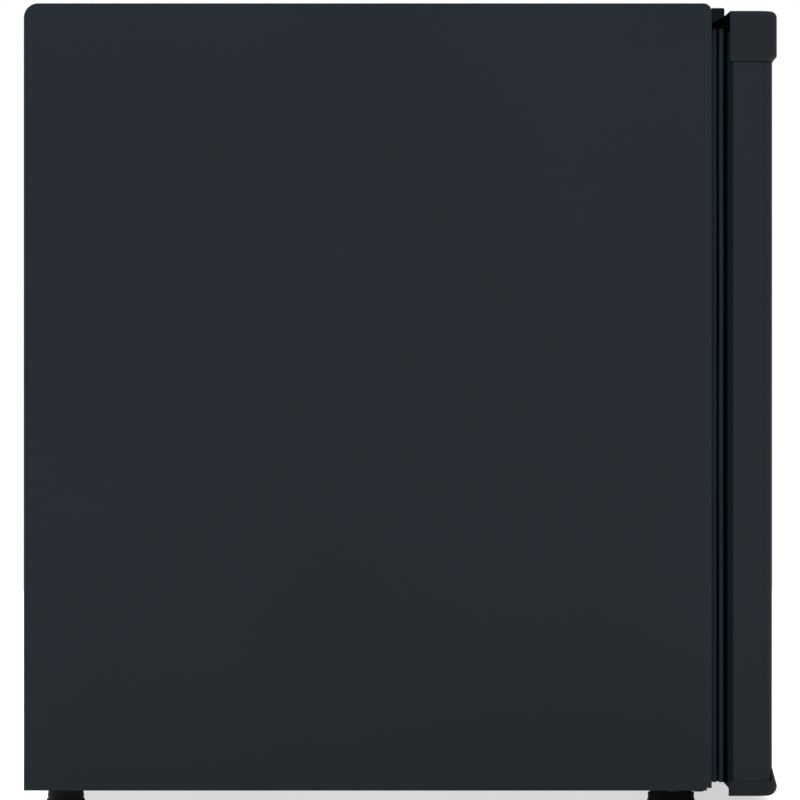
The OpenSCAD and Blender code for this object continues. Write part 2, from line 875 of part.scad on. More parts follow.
module suction_tube() {
    color(copper_colour)
    tube([
        [suction_x0, suction_y, suction_z],
        [suction_x, suction_y, suction_z],
        [suction_x, chase_mid_y, suction_z],
        [suction_x, chase_mid_y, entry_z],
        [suction_x, freezer_y1 + 0.1, entry_z]], suction_d, 12);
}

// Bushing for the supply lead in the upstand of the compressor plate
module cord_gland() {
    color([0.07, 0.07, 0.07])
    difference() {
        union() {
            bar_y([plate_y[1] - plate_t, plate_y[1]], [gland_x, gland_z], 7);
            bar_y([plate_y[1] - plate_t - 5, plate_y[1] - plate_t], [gland_x, gland_z], 9);
            bar_y([plate_y[1], plate_y[1] + 3], [gland_x, gland_z], 9);
        }
        bar_y([plate_y[1] - 12, plate_y[1] + 8], [gland_x, gland_z], 4);
    }
}

// ---- hinges ----

// Outline of a hinge arm: a straight neck and an end that keeps inside the door's turning circle
module arm_outline(r, y_end) {
    intersection() {
        union() {
            translate([axis_x, axis_y])
                circle(r);
            translate([axis_x - r, axis_y])
                square([2 * r, y_end - axis_y]);
        }
        translate([axis_x - r - over, axis_y - r - over])
            square([r + over + axis_inset - 0.7, cabinet_d]);
    }
}

module top_hinge_bracket() {
    color(shell_colour)
    difference() {
        union() {
            upright([arm_z, arm_z + arm_t])
                arm_outline(arm_r - 3, front_y);
            block([leaf_x0 + 1, half_w - 1.5], [front_y - leaf_t, front_y], [arm_z, leaf_z1]);
        }
        bar_z([arm_z - over, arm_z + arm_t + over], [axis_x, axis_y], pin_d / 2 + pin_fit);
        for (x = hinge_screw_x)
            bar_y([front_y - leaf_t - over, front_y + over], [x, hinge_screw_z], hinge_screw_r + 0.05);
    }
}

module top_hinge_pin() {
    color(steel_colour)
    union() {
        bar_z([arm_z - pin_reach, arm_z + arm_t], [axis_x, axis_y], pin_d / 2);
        bar_z([arm_z + arm_t, arm_z + arm_t + 1.4], [axis_x, axis_y], pin_d / 2 + 2);
    }
}

module top_hinge_screws() {
    color(steel_colour)
    for (x = hinge_screw_x) {
        bar_y([front_y - leaf_t, front_y + 8], [x, hinge_screw_z], hinge_screw_r);
        bar_y([front_y - leaf_t - 2, front_y - leaf_t], [x, hinge_screw_z], hinge_screw_r * 2);
    }
}

// Moulded cover over the upper hinge; it carries on the trim and the groove in front of it
module hinge_cover() {
    groove_z = trim_tip_z;
    color(cap_colour)
    difference() {
        union() {
            along_x([leaf_x0, half_w - 1])
                polygon([
                    [front_y, trim_root_z],
                    [front_y, trim_top_z],
                    [front_y - trim_d + 0.6, trim_top_z],
                    [front_y - trim_d, trim_top_z - 0.6],
                    [front_y - trim_d, trim_tip_z]]);
            intersection() {
                upright([arm_z + arm_t - 1.5, door_z1])
                    arm_outline(arm_r, front_y - trim_d + over);
                along_x(sym(half_w))
                    polygon([
                        [front_y, arm_z],
                        [front_y, groove_z],
                        [front_y - trim_d, groove_z],
                        [cap_back_y, door_z1],
                        [cap_front_y, door_z1],
                        [cap_front_y, arm_z]]);
            }
        }
        block([leaf_x0 + 0.9, half_w - 1.4], [front_y - leaf_t - 0.1, front_y + over],
            [arm_z - over, leaf_z1 + 0.1]);
        upright([arm_z - over, arm_z + arm_t + 0.1])
            arm_outline(arm_r - 2.9, front_y);
        bar_z([arm_z, arm_z + arm_t + 1.6], [axis_x, axis_y], pin_d / 2 + 2.2);
        for (x = hinge_screw_x)
            bar_y([front_y - leaf_t - 2.1, front_y], [x, hinge_screw_z], hinge_screw_r * 2 + 0.1);
    }
}

module bottom_hinge_bracket() {
    color(shell_colour)
    difference() {
        upright([lower_arm_z0, lower_arm_z1])
            arm_outline(arm_r - 3, lower_screw_y[1] + 9);
        bar_z([lower_arm_z0 - over, lower_arm_z1 + over], [axis_x, axis_y], pin_d / 2 + pin_fit);
        for (y = lower_screw_y)
            bar_z([lower_arm_z0 - over, lower_arm_z1 + over], [lower_screw_x, y], hinge_screw_r + 0.05);
    }
}

module bottom_hinge_pin() {
    color(steel_colour)
    bar_z([lower_arm_z0, notch_ceiling + pin_reach], [axis_x, axis_y], pin_d / 2);
}

module bottom_hinge_screws() {
    color(steel_colour)
    for (y = lower_screw_y) {
        bar_z([lower_arm_z0, base_z + 11], [lower_screw_x, y], hinge_screw_r);
        bar_z([lower_arm_z0 - 2, lower_arm_z0], [lower_screw_x, y], hinge_screw_r * 2);
    }
}

// Plugs in the spare holes on the side without the hinge
module hinge_hole_plugs() {
    color(cap_colour)
    for (y = lower_screw_y) {
        bar_z([base_z, base_z + 5], [-lower_screw_x, y], hinge_screw_r);
        bar_z([base_z - 1.2, base_z], [-lower_screw_x, y], hinge_screw_r + 2);
    }
}

module rear_feet() {
    color([0.08, 0.08, 0.08])
    for (side = [-1, 1])
        translate([side * rear_foot_x, rear_foot_y, 0]) {
            bar_z([0, 3], [0, 0], rear_foot_r);
            translate([0, 0, 3])
                cylinder(r1 = rear_foot_r, r2 = rear_foot_r - 3, h = plate_z1 - plate_t - 3);
            bar_z([plate_z1 - plate_t, plate_z1 + 3], [0, 0], 3);
        }
}

module foot_nuts() {
    color(steel_colour)
    for (side = [-1, 1])
        translate([side * foot_x, foot_y - 4, 0])
            difference() {
                bar_z([base_z + rail_t, base_z + rail_t + nut_h], [0, 0], nut_r);
                bar_z([base_z, base_z + 40], [0, 0], stem_d / 2 + 0.06);
            }
}

// ---- door body ----

// Outline of the door, with rounded front edges, drawn in X and Y
module door_plan(x, front, back, r) {
    difference() {
        translate([-x, front])
            square([2 * x, back - front]);
        corner_cut([-x, front], [-1, -1], r);
        corner_cut([x, front], [1, -1], r);
    }
}

// The room a hinge arm needs in an end cap, out to both faces of the corner
module hinge_notch(z) {
    block([notch_x, half_w + over], [cap_front_y - over, front_y], z);
}

module door_skin() {
    hem_in = 10;
    color(shell_colour)
    upright([pocket_z, skin_z1])
        difference() {
            door_plan(skin_x, door_front_y, liner_plate_front, door_edge_r);
            door_plan(skin_x - sheet_t, door_front_y + sheet_t, liner_plate_front - sheet_t,
                door_edge_r - sheet_t);
            translate([-skin_x + hem_in, door_front_y + door_t / 2])
                square([2 * (skin_x - hem_in), door_t]);
        }
}

// Outline of the hollow in the raised frame, which the foam fills
module dike_ring(grow, y) {
    difference() {
        block(sym(dike_x + grow), y, [dike_z0 - grow, dike_z1 + grow]);
        block(sym(dike_x - dike_w - grow), [y[0] - over, y[1] + over],
            [dike_z0 + dike_w + grow, dike_z1 - dike_w - grow]);
    }
}

module door_foam() {
    inner = door_edge_r - sheet_t;
    color([0.93, 0.87, 0.68])
    difference() {
        union() {
            upright([pocket_z + 0.1, skin_z1 - 0.1])
                door_plan(skin_x - sheet_t, door_front_y + sheet_t, liner_plate_front - sheet_t, inner);
            dike_ring(-liner_t, [liner_plate_front - sheet_t - over, door_back_y + dike_d - liner_t]);
        }
        bar_z([cap_lid_z - boss_h - 2, cap_lid_z], [axis_x, axis_y], boss_r + 0.3);
        bar_z([pocket_z, pocket_z + boss_h + 2], [axis_x, axis_y], boss_r + 0.3);
    }
}

module door_liner() {
    color(liner_colour)
    difference() {
        union() {
            block(sym(skin_x - 1), [liner_plate_front, door_back_y], [pocket_z + 1.5, skin_z1 - 0.1]);
            dike_ring(0, [door_back_y - over, door_back_y + dike_d]);
        }
        dike_ring(-liner_t, [liner_plate_front - over, door_back_y + dike_d - liner_t]);
    }
}

module gasket_frame(x, z0, z1, w, y) {
    difference() {
        block(sym(x), y, [z0, z1]);
        block(sym(x - w), [y[0] - over, y[1] + over], [z0 + w, z1 - w]);
    }
}

// Soft seal: a magnet strip against the cabinet, a neck, and a base pressed into the liner
module door_gasket() {
    seal_y = front_y - run_gap;
    neck_y = seal_y - magnet_strip_t;
    strip_y = neck_y - neck_t;
    root_y = strip_y - base_strip_t;
    inner = gasket_w - 2 * gasket_neck;
    in_x = gasket_x - gasket_neck;
    color(seal_colour)
    difference() {
        union() {
            gasket_frame(gasket_x, gasket_z0, gasket_z1, gasket_w, [neck_y, seal_y]);
            gasket_frame(in_x, gasket_z0 + gasket_neck, gasket_z1 - gasket_neck, inner,
                [door_back_y, neck_y + 0.2]);
            gasket_frame(gasket_x, gasket_z0, gasket_z1, gasket_w, [root_y, strip_y]);
        }
        gasket_frame(gasket_x - 3, gasket_z0 + 3, gasket_z1 - 3, gasket_w - 6,
            [neck_y + 0.6, seal_y - 0.6]);
    }
}

// Four magnet bars, one in each side of the seal
module gasket_magnets() {
    y = [front_y - run_gap - magnet_strip_t + 0.7, front_y - run_gap - 0.7];
    x = gasket_x - 3.1;
    z0 = gasket_z0 + 3.1;
    z1 = gasket_z1 - 3.1;
    w = gasket_w - 6.2;
    color([0.2, 0.2, 0.2])
    union() {
        for (z = [z0, z1 - w])
            block(sym(x), y, [z, z + w]);
        for (side = [-1, 1])
            block(side > 0 ? [x - w, x] : [-x, -x + w], y, [z0 + w + 0.2, z1 - w - 0.2]);
    }
}

module cap_plan(back) {
    door_plan(half_w, cap_front_y, back, door_edge_r + 2);
}

// Upper end cap with a lip that closes the gap under the trim
module door_top_cap() {
    color(cap_colour)
    difference() {
        union() {
            upright([cap_z0, door_z1])
                cap_plan(cap_back_y);
            along_x([-half_w + 6, leaf_x0 - 6])
                polygon([
                    [cap_back_y - over, cap_lid_z],
                    [cap_back_y - over, door_z1],
                    [cap_back_y, door_z1],
                    [front_y - trim_d - lip_gap, trim_tip_z],
                    [front_y - lip_gap, trim_root_z - lip_gap],
                    [front_y - lip_gap, cap_lid_z]]);
            bar_z([cap_lid_z - boss_h, cap_lid_z], [axis_x, axis_y], boss_r);
        }
        difference() {
            upright([cap_z0 - over, skin_z1])
                door_plan(skin_x + cap_fit, door_front_y - cap_fit, door_back_y + over, door_edge_r);
            bar_z([cap_lid_z - boss_h, cap_lid_z + over], [axis_x, axis_y], boss_r);
        }
        along_x(sym(half_w + over))
            union() {
                polygon([
                    [cap_front_y - over, cap_z0 - over],
                    [door_front_y - 0.6, cap_z0 - over],
                    [door_front_y - 0.6, cap_z0],
                    [cap_front_y, cap_z0 + cap_chamfer],
                    [cap_front_y - over, cap_z0 + cap_chamfer]]);
                corner_cut([cap_front_y, door_z1], [-1, 1], top_edge_r);
            }
        hinge_notch([cap_lid_z, door_z1 + over]);
        bar_z([cap_lid_z - boss_h - over, cap_lid_z + over], [axis_x, axis_y], bushing_r);
    }
}

// Lower end cap with a foot that flares forward
module door_bottom_cap() {
    color(cap_colour)
    difference() {
        union() {
            intersection() {
                upright([door_z0, flare_z1])
                    cap_plan(cap_back_y + 0.9);
                along_x(sym(half_w))
                    difference() {
                        polygon([
                            [cap_back_y + 0.9, door_z0],
                            [cap_front_y, door_z0],
                            [cap_front_y, flare_z0],
                            [door_front_y - 0.3, flare_z1],
                            [door_front_y + 0.5, flare_z1],
                            [door_front_y + 0.5, bottom_cap_z1],
                            [cap_back_y + 0.9, bottom_cap_z1]]);
                        corner_cut([cap_front_y, door_z0], [-1, -1], bottom_edge_r);
                    }
            }
            along_x([-half_w + 6, leaf_x0])
                polygon([
                    [cap_back_y, door_z0 + 5],
                    [cap_back_y + 0.9, door_z0 + 5],
                    [cap_back_y + 3.4, door_z0 + 7.7],
                    [cap_back_y + 3.4, gasket_z0 - 0.3],
                    [cap_back_y, gasket_z0 - 0.3]]);
            bar_z([pocket_z - over, pocket_z + boss_h], [axis_x, axis_y], boss_r);
        }
        difference() {
            upright([pocket_z, flare_z1 + over])
                door_plan(skin_x + cap_fit, door_front_y - cap_fit, door_back_y, door_edge_r);
            bar_z([pocket_z - over, pocket_z + boss_h], [axis_x, axis_y], boss_r);
        }
        block([-half_w + cheek_t, notch_x - cheek_t], [cap_back_y + 0.9 - heel_d, cap_back_y + over + 0.9],
            [door_z0 - over, door_z0 + 5]);
        hinge_notch([door_z0 - over, notch_ceiling]);
        bar_z([notch_ceiling - over, pocket_z + boss_h + over], [axis_x, axis_y], bushing_r);
    }
}

module bushing(z, flange) {
    difference() {
        union() {
            bar_z(z, [axis_x, axis_y], bushing_r - 0.05);
            bar_z(flange, [axis_x, axis_y], bushing_r + 2);
        }
        bar_z([z[0] - over, z[1] + over], [axis_x, axis_y], pin_d / 2 + pin_fit);
    }
}

module top_hinge_bushing() {
    color([0.85, 0.85, 0.82])
    bushing([cap_lid_z - bushing_h, cap_lid_z + 1], [cap_lid_z, cap_lid_z + 1]);
}

module bottom_hinge_bushing() {
    color([0.85, 0.85, 0.82])
    bushing([lower_arm_z1 + run_gap, notch_ceiling + bushing_h], [lower_arm_z1 + run_gap, notch_ceiling]);
}

// An open bin: a floor, a back against the liner, two cheeks and a lower guard
module door_bin(z, guard_h) {
    color([0.88, 0.91, 0.92])
    union() {
        block(sym(bin_x), [bin_y0, bin_y0 + bin_wall], z);
        block(sym(bin_x), [bin_y0, bin_y1], [z[0], z[0] + bin_wall]);
        block(sym(bin_x), [bin_y1 - bin_wall, bin_y1], [z[0], z[0] + guard_h]);
        for (side = [-1, 1])
            along_x(side > 0 ? [bin_x - bin_wall, bin_x] : [-bin_x, -bin_x + bin_wall])
                polygon([
                    [bin_y0, z[0]],
                    [bin_y1, z[0]],
                    [bin_y1, z[0] + guard_h],
                    [bin_y0 + bin_cheek_d, z[1]],
                    [bin_y0, z[1]]]);
    }
}

module door_bin_upper() {
    door_bin(upper_bin_z, upper_guard_h);
}

module door_bin_lower() {
    door_bin(lower_bin_z, lower_guard_h);
}

// ---- pieces that move inside ----

// Freezer flap, hung from two pins at its rounded upper edge
module freezer_flap() {
    color([0.80, 0.88, 0.92])
    union() {
        along_x(sym(flap_x))
            union() {
                translate([flap_y, flap_z])
                    circle(flap_t / 2);
                translate([flap_y - flap_t / 2, flap_z - flap_h])
                    square([flap_t, flap_h]);
                translate([flap_y - flap_t / 2 - flap_lip, flap_z - flap_h])
                    square([flap_lip + 1, 4]);
            }
        bar_x(sym(lug_x0 + lug_t - 1), [flap_y, flap_z], flap_pin_d / 2);
    }
}

// Welded shelf: a closed frame rod, two stays and a row of wires on top
module wire_shelf() {
    r = 14;
    x = shelf_x - shelf_rod_d / 2;
    y0 = shelf_y0 + shelf_rod_d / 2 + 6;
    y1 = shelf_y1 - shelf_rod_d / 2;
    wire_z = shelf_z + shelf_rod_d / 2 + shelf_wire_d / 2 - 0.8;
    pitch = 2 * (x - r) / (shelf_wires - 1);
    color([0.9, 0.9, 0.9])
    union() {
        tube([[0, y0, shelf_z], [x, y0, shelf_z], [x, y1, shelf_z], [-x, y1, shelf_z], [-x, y0, shelf_z],
            [0, y0, shelf_z]], shelf_rod_d, r);
        for (y = [y0 + (y1 - y0) / 3, y0 + (y1 - y0) * 2 / 3])
            bar_x(sym(x), [y, shelf_z], shelf_rod_d / 2 - 0.4);
        for (i = [0:shelf_wires - 1])
            bar_y([y0, y1], [-x + r + i * pitch, wire_z], shelf_wire_d / 2);
    }
}

// Moulded strip clipped over the front rod
module shelf_trim() {
    y0 = shelf_y0 + shelf_rod_d / 2 + 6;
    color([0.93, 0.94, 0.95])
    difference() {
        block(sym(shelf_x - 14), [shelf_y0, y0 + shelf_rod_d], [shelf_z - shelf_rod_d / 2, shelf_z + 9]);
        bar_x(sym(shelf_x), [y0, shelf_z], shelf_rod_d / 2 + 0.05);
        block(sym(shelf_x), [y0, y0 + 2 * shelf_rod_d], [shelf_z - shelf_rod_d, shelf_z + 4.4]);
    }
}

module drip_tray() {
    color([0.86, 0.91, 0.94])
    difference() {
        union() {
            block(sym(tray_x), [tray_y0, tray_y1], [tray_z0, tray_z1]);
            block(sym(tray_rim_x), [tray_y0 + 4, tray_y1], [tray_z1 - tray_rim_t, tray_z1]);
            block(sym(tray_rim_x), [tray_y0 - 4, tray_y0 + 1], [tray_z0 - 3, tray_z1]);
        }
        block(sym(tray_x - tray_wall), [tray_y0 + 1 + tray_wall, tray_y1 - tray_wall],
            [tray_z0 + tray_wall, tray_z1 + over]);
    }
}

// Thermostat knob with the shaft that it turns in the switch
module thermostat_knob() {
    x0 = stat_x - 0.5 - knob_h;
    color([0.93, 0.94, 0.95])
    union() {
        difference() {
            bar_x([x0, stat_x - 0.5], [knob_y, knob_z], knob_r);
            for (side = [-1, 1])
                block([x0 - over, x0 + 8], side > 0 ? [knob_y + 5, knob_y + knob_r + over]
                    : [knob_y - knob_r - over, knob_y - 5], sym(knob_r + over) + [knob_z, knob_z]);
        }
        bar_x([x0, stat_x - 0.5], [knob_y, knob_z], 8);
        bar_x([stat_x - over, switch_x[0] + 6], [knob_y, knob_z], shaft_d / 2);
    }
}

// Levelling foot: a pad under a threaded stem
module levelling_foot(side) {
    translate([side * foot_x, foot_y - 4, 0]) {
        color([0.08, 0.08, 0.08])
        union() {
            bar_z([0, 2], [0, 0], foot_r);
            translate([0, 0, 2])
                cylinder(r1 = foot_r, r2 = foot_r - 3, h = foot_pad_h - 2);
            bar_z([0, base_z + rail_t + nut_h + foot_travel + 2], [0, 0], stem_d / 2);
        }
    }
}

module foot_left() {
    levelling_foot(-1);
}

module foot_right() {
    levelling_foot(1);
}

side_panel_left();
side_panel_right();
top_panel();
back_panel();
back_panel_screws();
base_pan();
front_rail_top();
front_rail_bottom();
top_trim();
cabinet_foam();
inner_liner();
freezer_box();
freezer_spacers();
freezer_frame();
thermostat_housing();
thermostat_switch();
sensor_tube();
compressor();
compressor_plate();
compressor_grommets();
compressor_bolts();
relay_cover();
discharge_tube();
condenser_left();
condenser_right();
condenser_outlet();
filter_drier();
capillary_tube();
suction_tube();
cord_gland();
top_hinge_bracket();
top_hinge_pin();
top_hinge_screws();
hinge_cover();
bottom_hinge_bracket();
bottom_hinge_pin();
bottom_hinge_screws();
hinge_hole_plugs();
rear_feet();
foot_nuts();
door_skin();
door_foam();
door_liner();
door_gasket();
gasket_magnets();
door_top_cap();
door_bottom_cap();
top_hinge_bushing();
bottom_hinge_bushing();
door_bin_upper();
door_bin_lower();
freezer_flap();
wire_shelf();
shelf_trim();
drip_tray();
thermostat_knob();
foot_left();
foot_right();
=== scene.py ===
"""Looks of a compact refrigerator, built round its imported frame.

Lengths are in millimetres unless a docstring says otherwise; meshes are made in metres. Each
sub-assembly is a class that holds its sizes and builds and dresses its own pieces.
"""

from __future__ import annotations

import json
import logging
import math
import random
from collections.abc import Callable, Iterator, Sequence
from contextlib import contextmanager
from dataclasses import dataclass
from enum import Enum

import bmesh
import bpy
from mathutils import Matrix, Vector

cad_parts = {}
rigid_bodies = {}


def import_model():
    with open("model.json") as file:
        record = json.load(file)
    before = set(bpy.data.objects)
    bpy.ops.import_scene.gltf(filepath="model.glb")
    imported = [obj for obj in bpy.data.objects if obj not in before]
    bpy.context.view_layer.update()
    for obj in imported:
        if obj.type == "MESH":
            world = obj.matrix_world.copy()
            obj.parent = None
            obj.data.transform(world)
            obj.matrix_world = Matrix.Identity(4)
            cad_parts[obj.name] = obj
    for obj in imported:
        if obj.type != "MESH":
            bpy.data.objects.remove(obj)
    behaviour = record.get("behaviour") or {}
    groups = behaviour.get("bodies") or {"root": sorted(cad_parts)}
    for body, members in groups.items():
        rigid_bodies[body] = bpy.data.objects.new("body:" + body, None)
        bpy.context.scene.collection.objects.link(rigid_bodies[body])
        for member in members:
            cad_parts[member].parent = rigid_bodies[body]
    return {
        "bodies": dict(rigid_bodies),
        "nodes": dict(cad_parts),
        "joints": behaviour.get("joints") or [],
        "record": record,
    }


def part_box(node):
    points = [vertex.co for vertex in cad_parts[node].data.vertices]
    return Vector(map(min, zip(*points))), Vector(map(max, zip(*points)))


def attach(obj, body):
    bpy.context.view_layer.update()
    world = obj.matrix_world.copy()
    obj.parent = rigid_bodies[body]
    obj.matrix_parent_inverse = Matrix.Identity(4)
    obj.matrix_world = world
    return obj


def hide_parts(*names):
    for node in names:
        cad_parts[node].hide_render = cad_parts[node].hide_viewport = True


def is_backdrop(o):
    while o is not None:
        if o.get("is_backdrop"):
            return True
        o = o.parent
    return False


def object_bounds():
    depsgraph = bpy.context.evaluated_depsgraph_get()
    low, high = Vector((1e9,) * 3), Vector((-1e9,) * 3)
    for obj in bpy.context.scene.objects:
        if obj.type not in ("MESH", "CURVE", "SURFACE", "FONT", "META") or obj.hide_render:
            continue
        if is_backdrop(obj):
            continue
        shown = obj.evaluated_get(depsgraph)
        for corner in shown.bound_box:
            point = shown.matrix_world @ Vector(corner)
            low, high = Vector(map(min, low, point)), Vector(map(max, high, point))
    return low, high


LOG = logging.getLogger("fridge")
MM = 0.001
SEED = 7
MERGE = 1e-7
WELD = 2e-6
LEAST_FOLD = math.radians(25)
FLAT = math.radians(0.8)
MIRRORED_SHARE = 0.3
WHITE = (1.0, 1.0, 1.0, 1.0)

Pair = tuple[float, float]
Triple = tuple[float, float, float]
Rgb = tuple[float, float, float]
Obj = bpy.types.Object
Mat = bpy.types.Material
Tree = bpy.types.NodeTree
Node = bpy.types.Node
Socket = bpy.types.NodeSocket

FRAME_NODES: dict[str, Obj] = {}


class Body(Enum):
    """The moving bodies of the refrigerator."""

    CABINET = "cabinet"
    DOOR = "door"
    FLAP = "flap"
    SHELF = "shelf"
    TRAY = "tray"
    KNOB = "knob"
    FOOT_LEFT = "foot_left"
    FOOT_RIGHT = "foot_right"


class Slot(Enum):
    """The finishes that the pieces of the refrigerator have."""

    PAINTED = "painted_shell"
    MOULDED = "moulded_dark"
    SEAL = "seal"
    LINER = "liner_white"
    CLEAR = "clear_tint"
    PLATED = "plated_steel"
    ROLL_BOND = "roll_bond"
    COPPER = "copper"
    COMPRESSOR = "compressor_black"
    RUBBER = "black_rubber"
    FOAM = "foam"
    WIRE = "coated_wire"


class Side(Enum):
    """Left and right of the refrigerator, seen from its front."""

    LEFT = -1.0
    RIGHT = 1.0


def srgb(red: int, green: int, blue: int) -> Rgb:
    """A colour written as it looks on a screen, as linear light."""

    def linear(v: float) -> float:
        """One channel from 0..255 to linear light."""
        v /= 255.0
        return v / 12.92 if v <= 0.04045 else ((v + 0.055) / 1.055) ** 2.4

    return linear(red), linear(green), linear(blue)


@dataclass(frozen=True)
class Extent:
    """The box that a node fills, in millimetres."""

    x0: float
    y0: float
    z0: float
    x1: float
    y1: float
    z1: float

    @classmethod
    def of(cls, node: str) -> Extent:
        """The box of a node of the frame."""
        lo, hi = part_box(node)
        return cls(*(c / MM for c in lo), *(c / MM for c in hi))

    @property
    def centre(self) -> Triple:
        """The middle of the box."""
        return (self.x0 + self.x1) / 2, (self.y0 + self.y1) / 2, (self.z0 + self.z1) / 2


# ---------------------------------------------------------------- meshes


@contextmanager
def opened(mesh: bpy.types.Mesh) -> Iterator[bmesh.types.BMesh]:
    """A mesh opened for editing, and written back at the end."""
    bm = bmesh.new()
    bm.from_mesh(mesh)
    yield bm
    bm.to_mesh(mesh)
    bm.free()


def linked(name: str, data: bpy.types.ID) -> Obj:
    """A new object that shows some data, linked to the scene."""
    obj = bpy.data.objects.new(name, data)
    bpy.context.scene.collection.objects.link(obj)
    return obj


def dress(obj: Obj, material: Mat) -> Obj:
    """Gives a piece one material in place of any that it has."""
    obj.data.materials.clear()
    obj.data.materials.append(material)
    return obj


def evaluated(obj: Obj) -> bpy.types.Mesh:
    """A plain mesh of an object as its modifiers leave it."""
    bpy.context.view_layer.update()
    graph = bpy.context.evaluated_depsgraph_get()
    return bpy.data.meshes.new_from_object(obj.evaluated_get(graph), depsgraph=graph)


def metres(point: Sequence[float]) -> Triple:
    """A point in metres from one in millimetres."""
    return point[0] * MM, point[1] * MM, point[2] * MM


def turns(sides: int) -> list[float]:
    """Equally spaced angles round a circle, in radians."""
    return [2 * math.pi * i / sides for i in range(sides)]


def quarter(steps: int) -> list[float]:
    """Equally spaced angles from 0 to a quarter turn, in radians."""
    return [math.radians(90 * i / steps) for i in range(steps + 1)]


def mesh_object(name: str, verts: Sequence[Sequence[float]], faces: Sequence[Sequence[int]]) -> Obj:
    """Makes an object from points in millimetres and faces, with its normals facing outwards."""
    mesh = bpy.data.meshes.new(name)
    mesh.from_pydata([metres(v) for v in verts], [], [tuple(f) for f in faces])
    with opened(mesh) as bm:
        bmesh.ops.remove_doubles(bm, verts=bm.verts, dist=MERGE)
        bmesh.ops.recalc_face_normals(bm, faces=bm.faces)
    return linked(name, mesh)


def loft(name: str, rings: Sequence[Sequence[Triple]], closed: bool = False) -> Obj:
    """Joins rings of equally many points into one closed skin.

    Args:
        name: The object's name.
        rings: Rings of points in millimetres.
        closed: True if the last ring joins the first; if not, both are filled.

    Returns:
        The new object.
    """
    n = len(rings[0])
    verts = [p for ring in rings for p in ring]
    faces: list[list[int]] = []
    spans = len(rings) if closed else len(rings) - 1
    for i in range(spans):
        a, b = i * n, ((i + 1) % len(rings)) * n
        faces += [[a + j, a + (j + 1) % n, b + (j + 1) % n, b + j] for j in range(n)]
    if not closed:
        faces += [list(range(n))[::-1], list(range((len(rings) - 1) * n, len(rings) * n))]
    return mesh_object(name, verts, faces)


def arc_corner(corner: Pair, before: Pair, after: Pair, radius: float, steps: int) -> list[Pair]:
    """Rounds one corner of an outline.

    Args:
        corner: The corner.
        before: The corner before it.
        after: The corner after it.
        radius: Radius of the arc, 0 for a sharp corner.
        steps: Number of facets in the arc.

    Returns:
        The points of the arc from start to end, or the corner alone.
    """
    if radius <= 0:
        return [corner]
    c, a, b = Vector(corner), Vector(before), Vector(after)
    u, v = (a - c).normalized(), (b - c).normalized()
    angle = math.acos(max(-1.0, min(1.0, u.dot(v))))
    cut = radius / math.tan(angle / 2)
    mid = c + (u + v).normalized() * (radius / math.sin(angle / 2))
    start, end = c + u * cut - mid, c + v * cut - mid
    turn = start.angle_signed(end)
    points = []
    for i in range(steps + 1):
        t = -turn * i / steps
        points.append((
            mid.x + start.x * math.cos(t) - start.y * math.sin(t),
            mid.y + start.x * math.sin(t) + start.y * math.cos(t),
        ))
    return points


def rounded(corners: Sequence[Triple], steps: int = 6, closed: bool = True) -> list[Pair]:
    """An outline with a rounding at each corner.

    Args:
        corners: (across, up, radius) of each corner.
        steps: Number of facets in each arc.
        closed: False for an open path, whose ends are never rounded.

    Returns:
        The points of the outline.
    """
    out: list[Pair] = []
    last = len(corners) - 1
    for i, (x, y, r) in enumerate(corners):
        if not closed and i in (0, last):
            out.append((x, y))
            continue
        before, after = corners[i - 1], corners[(i + 1) % len(corners)]
        out += arc_corner((x, y), before[:2], after[:2], r, steps)
    return out


def upright_ring(x: float, z0: float, z1: float, y: float, r: float) -> list[Triple]:
    """A rounded rectangle seen from the front, from -x to x and z0 to z1, at one depth."""
    return [(px, y, pz) for px, pz in rounded([(-x, z0, r), (x, z0, r), (x, z1, r), (-x, z1, r)], 6)]


def thicken(path: Sequence[Pair], t: float) -> list[Pair]:
    """A closed outline of a strip along an open path.

    Args:
        path: Points of the outer side.
        t: Thickness, to the left of the path's direction.

    Returns:
        The outline: the path, then its inner side back to the start.
    """
    inner: list[Pair] = []
    for i, p in enumerate(path):
        a = Vector(path[max(i - 1, 0)])
        b = Vector(path[min(i + 1, len(path) - 1)])
        c = Vector(p)
        d1 = (c - a).normalized() if i else (b - c).normalized()
        d2 = (b - c).normalized() if i < len(path) - 1 else d1
        n = Vector((-(d1.y + d2.y), d1.x + d2.x)).normalized()
        scale = 1.0 / max(0.3, n.dot(Vector((-d1.y, d1.x))))
        q = c + n * t * scale
        inner.append((q.x, q.y))
    return list(path) + inner[::-1]


def prism(name: str, outline: Sequence[Pair], axis: str, lo: float, hi: float) -> Obj:
    """A straight bar from lo to hi on an axis, with an outline in the plane across it."""
    k = "xyz".index(axis)
    return loft(name, [[(*p[:k], t, *p[k:]) for p in outline] for t in (lo, hi)])


